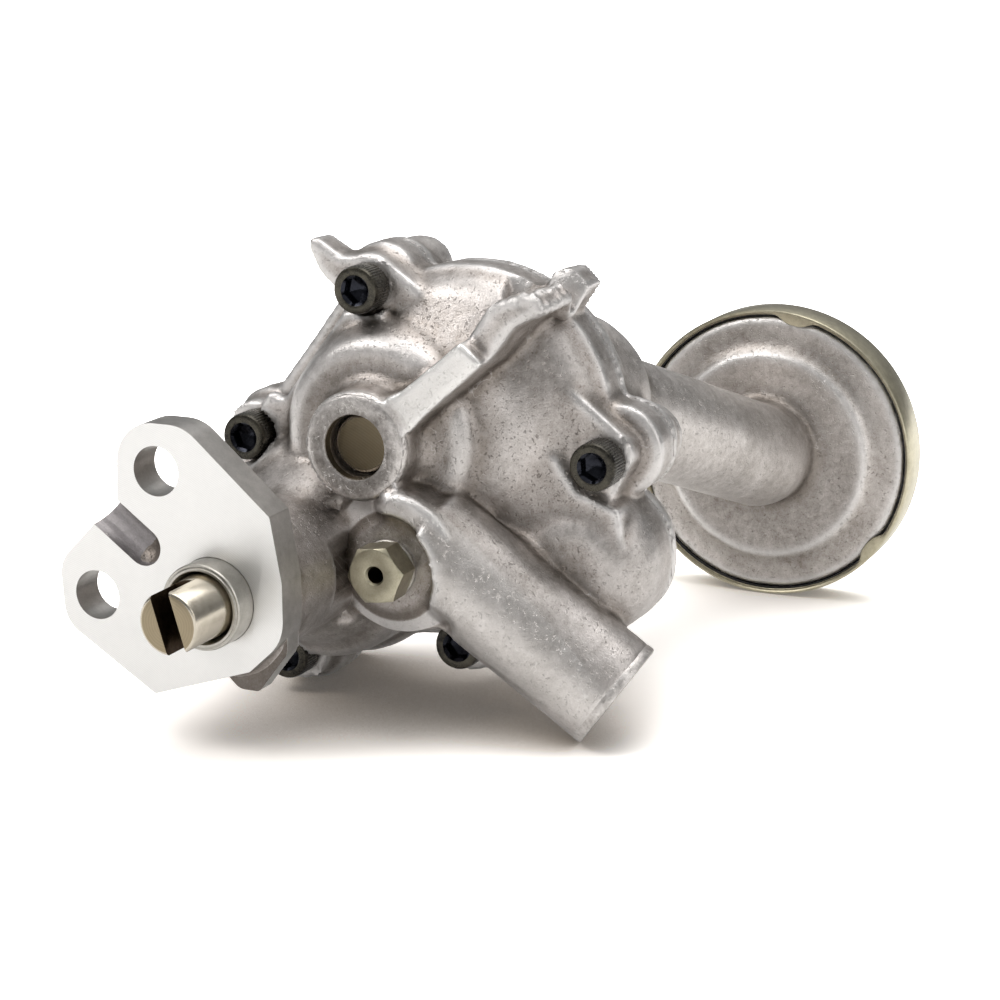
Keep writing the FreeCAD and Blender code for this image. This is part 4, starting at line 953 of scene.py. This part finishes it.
# %% Cast aluminium with milled faces
def attribute(tree, name):
    """The value that a mesh stores at its points under this name."""
    node = tree.nodes.new("ShaderNodeAttribute")
    node.attribute_name = name
    return node.outputs["Fac"]


def cast_metal(name, dark, light):
    """Cast aluminium: grain, specks, painted shade in the hollows, polished edges, a few scratches and a
    painted highlight on the front of rib and socket.
    """
    material, tree, shader, colour, rough, texture = metal(
        name, dark, light, 0.29, 0.52, 0.75, pit=0.8)
    line = group_node(tree, scratches, {"Scale": 260.0, "Slant": 0.7}).outputs["Line"]
    rubbed = attribute(tree, "rubbed")
    layers = [
        (texture.outputs["Speck"], 0.45, (0.16, 0.145, 0.13)),
        # painted shade in the hollows and on the foot
        (attribute(tree, "hollow"), 0.75, (0.115, 0.096, 0.078)),
        (attribute(tree, "edge"), 0.55, (0.74, 0.735, 0.73)),
        # more scratches and a painted highlight on the front of rib and socket
        (line, math_node(tree, "MULTIPLY_ADD", rubbed, 0.5, 0.25), (0.85, 0.84, 0.83)),
        (rubbed, 0.75, (0.83, 0.82, 0.80))]
    for mask, share, tint in layers:
        colour = mix_colour(tree, math_node(tree, "MULTIPLY", mask, share), colour, tint)
    tree.links.new(colour, shader.inputs["Base Color"])
    rougher = math_node(tree, "MULTIPLY_ADD", attribute(tree, "torn"), 0.12, rough)
    tree.links.new(rougher, shader.inputs["Roughness"])
    return material


paint(cast_metal("cast_aluminium", (0.215, 0.190, 0.168), (0.590, 0.555, 0.535)), "pump_body_cast")
# painted highlight: the cover's copy of the cast metal is lighter than the body's, for the light on arm
# and bell from above and behind
paint(cast_metal("cast_cover_painted_lighter", (0.270, 0.242, 0.218), (0.700, 0.665, 0.640)), "pump_cover_cast")

milled, tree, shader, colour, rough, _ = metal(
    "milled_aluminium", (0.33, 0.32, 0.305), (0.52, 0.505, 0.485), 0.32, 0.46, 0.25, 4200.0, 0.4)
arcs = group_node(tree, marks, {"Centre X": -0.060, "Centre Z": -0.090, "Pitch": 16000.0})
front = math_node(tree, "GREATER_THAN", math_node(tree, "MULTIPLY", along_y(tree), -1.0), FLAT)
bright = mix_colour(tree, arcs.outputs["Line"], (0.80, 0.80, 0.79), (0.88, 0.88, 0.87))
bright = mix_colour(tree, 0.22, bright, colour)
tree.links.new(mix_colour(tree, front, colour, bright), shader.inputs["Base Color"])
smooth = grey(tree, arcs.outputs["Line"], 0.40, 0.46)
change = math_node(tree, "SUBTRACT", smooth, rough)
tree.links.new(math_node(tree, "MULTIPLY_ADD", change, front, rough), shader.inputs["Roughness"])
paint(milled, "mounting_flange_milled")
# painted shade: a dark copy of the cast metal for the flange's foot, which stands in the flange's shade
foot_shade_metal = metal("foot_painted_shade", (0.085, 0.072, 0.060), (0.20, 0.18, 0.165), 0.36, 0.55, 0.4)[0]
dull = metal("groove_cast", (0.25, 0.235, 0.235), (0.40, 0.38, 0.385), 0.46, 0.60, 0.5)[0]


def foot_in_shade(centres, normals):
    """Faces low on the flange that look forwards from behind its milled front."""
    return (centres[:, 1] > 1.5) & (normals[:, 1] < -0.3) & (centres[:, 2] < -10.0)


def in_groove(centres, normals):
    """Faces within the half-round groove's radius of its slanting line, behind the front face."""
    away = centres - np.array([-15.7, 0.0, 9.1])
    run = np.array([-0.8084, 0.0, 0.5887])
    along = np.clip(away @ run, 0, None)
    reach = np.linalg.norm(away - along[:, None] * run, axis=1)
    return (reach < 3.95) & (centres[:, 1] > 0.08) & (centres[:, 1] < 4.2)


paint_faces("mounting_flange_milled", foot_shade_metal, foot_in_shade)
paint_faces("mounting_flange_milled", dull, in_groove)

faced = metal("faced_aluminium", (0.27, 0.25, 0.235), (0.66, 0.635, 0.615),
              0.28, 0.52, 0.9, 1500.0, 1.0, 1.2)[0]
paint(faced, "idler_boss_ring", "socket_end_ring")
# painted shade: the bore inside the idler's mouth is painted near black
bore_shade_metal = metal("bore_painted_shade", (0.045, 0.038, 0.030), (0.13, 0.11, 0.085), 0.35, 0.50, 0.3)[0]
paint_faces("idler_boss_ring", bore_shade_metal, near(IDLER, 6.62))

# %% Steels, brass, plating and rubber
steel, tree, shader, colour, rough, _ = metal(
    "ground_steel", (0.40, 0.36, 0.29), (0.62, 0.575, 0.49), 0.16, 0.30, 0.10, 5200.0, 0.2, 0.7)
# the shaft's and axle's flat ends are browner and duller, with turning rings
end_face = math_node(tree, "GREATER_THAN", math_node(tree, "ABSOLUTE", along_y(tree)), FLAT)
rings = group_node(tree, marks, {"Pitch": 11000.0})
end_colour = mix_colour(tree, rings.outputs["Line"], (0.205, 0.160, 0.090), (0.245, 0.195, 0.115))
end_colour = mix_colour(tree, 0.2, end_colour, colour)
tree.links.new(mix_colour(tree, end_face, colour, end_colour), shader.inputs["Base Color"])
duller = math_node(tree, "MULTIPLY_ADD", end_face, 0.14, rough)
tree.links.new(duller, shader.inputs["Roughness"])
paint(steel, "drive_shaft_turned", "idler_axle_turned", "dowel_pins", "relief_piston")
# painted shade: a near-black metal for the shaft's slot and the jet plug's drilling
recess_shade_metal = metal("slot_and_hole_painted_shade", (0.022, 0.014, 0.008), (0.075, 0.050, 0.030), 0.30, 0.45, 0.3)[0]


def in_slot(centres, normals):
    """Faces of the slot: within half its width of the leaning middle plane, behind the end face."""
    across = centres[:, 0] * math.cos(SLOT_LEAN) + centres[:, 2] * math.sin(SLOT_LEAN)
    behind = centres[:, 1] - SHAFT_FRONT
    inside = (np.abs(across) < SLOT_WIDTH / 2 + 0.02) & (behind < SLOT_DEPTH + 0.1)
    return inside & (np.abs(behind) > 0.05)


paint_faces("drive_shaft_turned", recess_shade_metal, in_slot)
# name, pieces, dark and light tone, lowest and highest roughness, bump, and where they differ
# from the usual ones the fine scale, pit depth, mottle and metallic share
FINISHES = [
    ("bush_steel", ["front_bush_turned", "rear_bush", "idler_bush"],
     (0.30, 0.285, 0.255), (0.52, 0.505, 0.465), 0.22, 0.38, 0.16, 4200.0, 0.25, 0.8),
    ("gear_steel", ["drive_gear", "idler_gear", "gear_key", "relief_cap_turned"],
     (0.26, 0.255, 0.25), (0.44, 0.43, 0.42), 0.24, 0.42, 0.20),
    ("spring_steel", ["gear_circlip", "relief_spring"],
     (0.12, 0.12, 0.125), (0.28, 0.28, 0.285), 0.25, 0.40, 0.15),
    ("soft_metal", ["jet_washer_turned", "relief_cap_washer"],
     (0.36, 0.345, 0.31), (0.56, 0.54, 0.50), 0.30, 0.45, 0.20),
    ("jet_brass", ["jet_plug_turned"], (0.30, 0.275, 0.20), (0.52, 0.49, 0.375), 0.30, 0.44, 0.22),
    ("black_steel", ["cover_screw_%d" % (index + 1) for index in range(len(SCREWS))],
     (0.014, 0.013, 0.012), (0.085, 0.078, 0.060), 0.20, 0.36, 0.25, 3200.0, 0.4, 1.1, 0.8),
    ("gold_plated_steel", ["strainer_retainer_pressed"],
     (0.36, 0.33, 0.235), (0.62, 0.58, 0.44), 0.24, 0.36, 0.18),
    ("screen_wire", ["strainer_cloth"], (0.34, 0.34, 0.34), (0.60, 0.60, 0.58), 0.28, 0.40, 0.10),
    ("seal_rubber", ["strainer_seal_ring"],
     (0.012, 0.012, 0.012), (0.035, 0.035, 0.034), 0.55, 0.70, 0.20, 2600.0, 0.5, 0.9, 0.0),
]
for name, pieces, *looks in FINISHES:
    paint(metal(name, *looks)[0], *pieces)
# painted shade in the jet plug's drilling
paint_faces("jet_plug_turned", recess_shade_metal, near(JET, 1.72))
# painted shade: the hexagon sockets are painted darker than the screws' own black
socket_shade_metal = metal("socket_painted_shade", (0.004, 0.005, 0.009), (0.028, 0.030, 0.040),
             0.12, 0.26, 0.25, 3200.0, 0.4, 1.1, 0.8)[0]
for index, place in enumerate(SCREWS, start=1):
    paint_faces("cover_screw_%d" % index, socket_shade_metal, near(place, 3.05, HEAD_FRONT + 0.15, 47.0))

# %% [markdown]
# ## Floor, light and camera
# The photograph is a studio shot on white. The camera sees white surroundings and a floor whose
# colour holds a painted shadow, darker where the object closes it in, while soft lamps light the object
# evenly.

# %% Floor and surroundings
BENCH = cad_box[0][2]
FLOOR_HALF = 3.0
FLOOR_WHITE = (0.93, 0.92, 0.905)
SHADE_REACH = 0.060


def white_floor():
    """A large square at the bench's height. Its diffuse part takes the shadow, and camera rays
    see that part twice, with a painted shadow: its colour turns dark brown where ambient occlusion
    finds the object closing the floor in. Its own light, for camera and mirror rays only, grows
    with distance until it reads as white."""
    mesh = bpy.data.meshes.new("floor")
    corners = [(-1, -1), (1, -1), (1, 1), (-1, 1)]
    mesh.from_pydata([(x * FLOOR_HALF, y * FLOOR_HALF, BENCH) for x, y in corners], [], [(0, 1, 2, 3)])
    floor = new_object("floor", mesh)
    material = bpy.data.materials.new("floor_white")
    material.use_nodes = True
    tree = material.node_tree
    tree.nodes.clear()
    rays = tree.nodes.new("ShaderNodeLightPath")
    camera_ray = rays.outputs["Is Camera Ray"]
    open_sky = tree.nodes.new("ShaderNodeAmbientOcclusion")
    open_sky.samples = 8
    open_sky.inputs["Distance"].default_value = SHADE_REACH
    # painted shadow: the floor's colour for camera rays goes dark brown where the object closes it in
    shade = ramp_node(tree, open_sky.outputs["AO"], [(0.15, 0.0), (0.85, 1.0)])
    first = mix_colour(tree, shade, (0.29, 0.24, 0.185), FLOOR_WHITE)
    second = mix_colour(tree, shade, (0.10, 0.075, 0.05), (0.95, 0.945, 0.935))
    place = tree.nodes.new("ShaderNodeTexCoord")
    away = tree.nodes.new("ShaderNodeVectorMath")
    away.operation = "LENGTH"
    tree.links.new(place.outputs["Object"], away.inputs[0])
    far = ramp_node(tree, away.outputs["Value"], [(0.10, 0.06), (0.30, 0.35), (0.75, 1.0)])
    seen = math_node(tree, "ADD", camera_ray, rays.outputs["Is Glossy Ray"], clamp=True)
    glow = tree.nodes.new("ShaderNodeEmission")
    glow.inputs["Color"].default_value = (1, 1, 1, 1)
    tree.links.new(math_node(tree, "MULTIPLY", seen, far), glow.inputs["Strength"])
    total = glow.outputs[0]
    for other_rays, camera_rays in ((FLOOR_WHITE, first), ((0.0, 0.0, 0.0), second)):
        diffuse = tree.nodes.new("ShaderNodeBsdfDiffuse")
        colour = mix_colour(tree, camera_ray, other_rays, camera_rays)
        tree.links.new(colour, diffuse.inputs["Color"])
        both = tree.nodes.new("ShaderNodeAddShader")
        tree.links.new(total, both.inputs[0])
        tree.links.new(diffuse.outputs[0], both.inputs[1])
        total = both.outputs[0]
    out = tree.nodes.new("ShaderNodeOutputMaterial")
    tree.links.new(total, out.inputs["Surface"])
    mesh.materials.append(material)


white_floor()
world = bpy.data.worlds.new("studio")
bpy.context.scene.world = world
world.use_nodes = True
tree = world.node_tree
background = tree.nodes["Background"]
rays = tree.nodes.new("ShaderNodeLightPath")
direction = tree.nodes.new("ShaderNodeTexCoord")
split = tree.nodes.new("ShaderNodeSeparateXYZ")
tree.links.new(direction.outputs["Generated"], split.inputs[0])
sky = ramp_node(tree, math_node(tree, "MULTIPLY_ADD", split.outputs[2], 0.5, 0.5),
                [(0.0, 0.52), (0.50, 0.34), (0.60, 0.20), (0.78, 0.45), (1.0, 0.85)])
seen_sky = mix_colour(tree, rays.outputs["Is Camera Ray"], sky, (1.0, 1.0, 1.0))
tree.links.new(seen_sky, background.inputs["Color"])
background.inputs["Strength"].default_value = 1.0

# %% Lamps
LAMP_COLOUR = (1.0, 0.98, 0.965)
AIM = (0.03, 0.07, 0.0)


def unit(direction):
    """The direction with length 1."""
    return direction / np.linalg.norm(direction)


def placed(name, data, place, right, backward):
    """A lamp or camera at place (metres) that looks against backward, with right to its right."""
    matrix = np.eye(4)
    matrix[:3, 0], matrix[:3, 1] = right, np.cross(backward, right)
    matrix[:3, 2], matrix[:3, 3] = backward, place
    holder = new_object(name, data)
    holder.matrix_world = Matrix(matrix.tolist())
    return holder


def soft_lamp(name, place, size, power):
    """A square area lamp at place (metres) that faces the object."""
    lamp = bpy.data.lights.new(name, "AREA")
    lamp.size, lamp.energy, lamp.color = size, power, LAMP_COLOUR
    backward = unit(np.array(place) - np.array(AIM))
    placed(name, lamp, place, unit(np.cross((0, 0, 1), backward)), backward)


soft_lamp("key", (-0.45, -0.45, 0.75), 0.5, 4.2)
soft_lamp("top", (0.15, 0.25, 0.95), 0.8, 5.4)
soft_lamp("side", (0.85, -0.10, 0.35), 0.5, 1.4)

# %% Camera
CAMERA_PLACE = np.array([0.24026, -0.40144, 0.13773])
CAMERA_RIGHT = np.array([0.9130, 0.4080, 0.0])
CAMERA_BACK = np.array([0.3959, -0.885, 0.2454])
FOCAL_LENGTH = 89.855
camera = bpy.data.cameras.new("camera")
camera.sensor_width = 36.0
camera.lens = FOCAL_LENGTH
camera.clip_end = 20.0
back = unit(CAMERA_BACK)
right = unit(CAMERA_RIGHT - back * CAMERA_RIGHT.dot(back))
bpy.context.scene.camera = placed("camera", camera, CAMERA_PLACE, right, back)
bpy.context.scene.view_settings.view_transform = "Standard"
